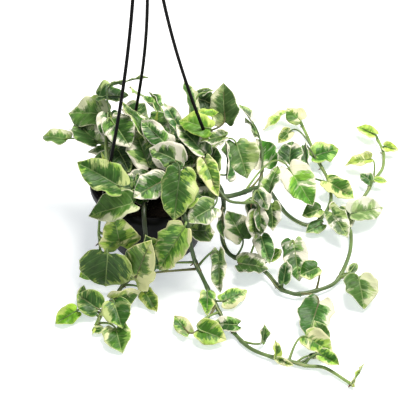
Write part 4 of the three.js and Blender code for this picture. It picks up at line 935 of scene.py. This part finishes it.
def grown_point(leaf, u, v, along, aside):
    """A blade's point as it has grown: bumpy, waved and lobed at the margin, full-shouldered and drooping."""
    seed = leaf["seed"]
    side = 5 if v > 0 else 0
    rise = 0
    for size, layer, height, power in BLADE_BUMPS:
        rise += noise.noise(Vector((along / size, aside / size, seed + layer))) * height * abs(v) ** power
    rise += noise.noise(Vector((along / EDGE_SIZE, side, seed + 2))) * 5.5 * abs(v) ** 3
    rise -= 0.6 * math.exp(-(aside / 1.6) ** 2) + leaf["droop"] * leaf["length"] * max(u - 0.7, 0) ** 2
    lobes = noise.noise(Vector((along / LOBE_SIZE, side, seed))) * 0.3 * abs(v)
    fuller = 0.05 + 1.1 * u ** 3 * (1 - u)
    place = blade_point(leaf, u, v) + leaf["across"] * aside * (lobes + fuller)
    return (place + leaf["face"] * rise * min(4 * (1 - u), 1)) * MM


def grow_leaves(name, leaves, finishes):
    """The blades of one stem, as one piece of thin sheets that get their thickness from a solidify."""
    shape = bmesh.new()
    green = shape.verts.layers.float_color.new("green")
    fresh = shape.verts.layers.float_color.new("fresh")
    pale = shape.verts.layers.float_color.new("pale")
    border = shape.verts.layers.float.new("border")
    rim = shape.verts.layers.float.new("rim")
    blade = shape.verts.layers.float_vector.new("blade")
    for leaf in leaves:
        chance = random.Random(500 + leaf["number"])
        green_hex, fresh_hex, pale_hex, share = LOOKS[leaf["look"]]
        lean, slope = SIDED.get(leaf["look"], (chance.uniform(-0.36, 0.36), 0))
        leaf["droop"] = chance.uniform(0.2, 1.3)
        leaf["seed"] = leaf["number"] * 3.7
        light = [chance.uniform(0.85, 1.22), chance.uniform(0.93, 1.15), chance.uniform(0.72, 1), 1]
        sheet = bmesh.ops.create_grid(shape, x_segments=BLADE_ROWS, y_segments=BLADE_COLUMNS, size=1)
        for vertex in sheet["verts"]:
            u = (1 - math.cos(math.pi * (vertex.co.x + 1) / 2)) / 2
            v = math.copysign(abs(vertex.co.y) ** 1.15, vertex.co.y)
            outline = half_outline(u)
            along = leaf["length"] * u
            aside = leaf["half"] * outline * v
            from_edge = min((1 - abs(v)) * outline, 1.6 * (1 - u), 0.25 + 1.2 * u)
            vertex[green] = [c * k for c, k in zip(linear(green_hex), light)]
            vertex[fresh] = [c * k for c, k in zip(linear(fresh_hex), light)]
            vertex[pale] = linear(pale_hex)
            vertex[border] = 1.3 * share - 0.65 * from_edge + lean * v + slope * (0.5 - u)
            vertex[rim] = from_edge * leaf["half"]
            vertex[blade] = (along - 0.6 * abs(aside) - 0.01 * aside ** 2, aside, leaf["seed"])
            vertex.co = grown_point(leaf, u, v, along, aside)
    bmesh.ops.remove_doubles(shape, verts=shape.verts[:], dist=0.01 * MM)
    piece = make_piece(name + "_leaves", shape, finishes, "foliage", name, crease=180)
    thickness = piece.modifiers.new("thickness", "SOLIDIFY")
    thickness.thickness = BLADE_THICKNESS * MM
    thickness.offset = 0
    thickness.material_offset = 1
    thickness.material_offset_rim = 0


leaf_skins = [waxy_leaf("waxy_variegated_leaf", "#ffffff", veil_share=0, roughness=0.36),
    waxy_leaf("matte_leaf_underside", "#a3b383", veil_share=0.25, roughness=0.55)]
for name, stem in STEMS.items():
    grow_leaves(name, stem["unfolded"], leaf_skins)
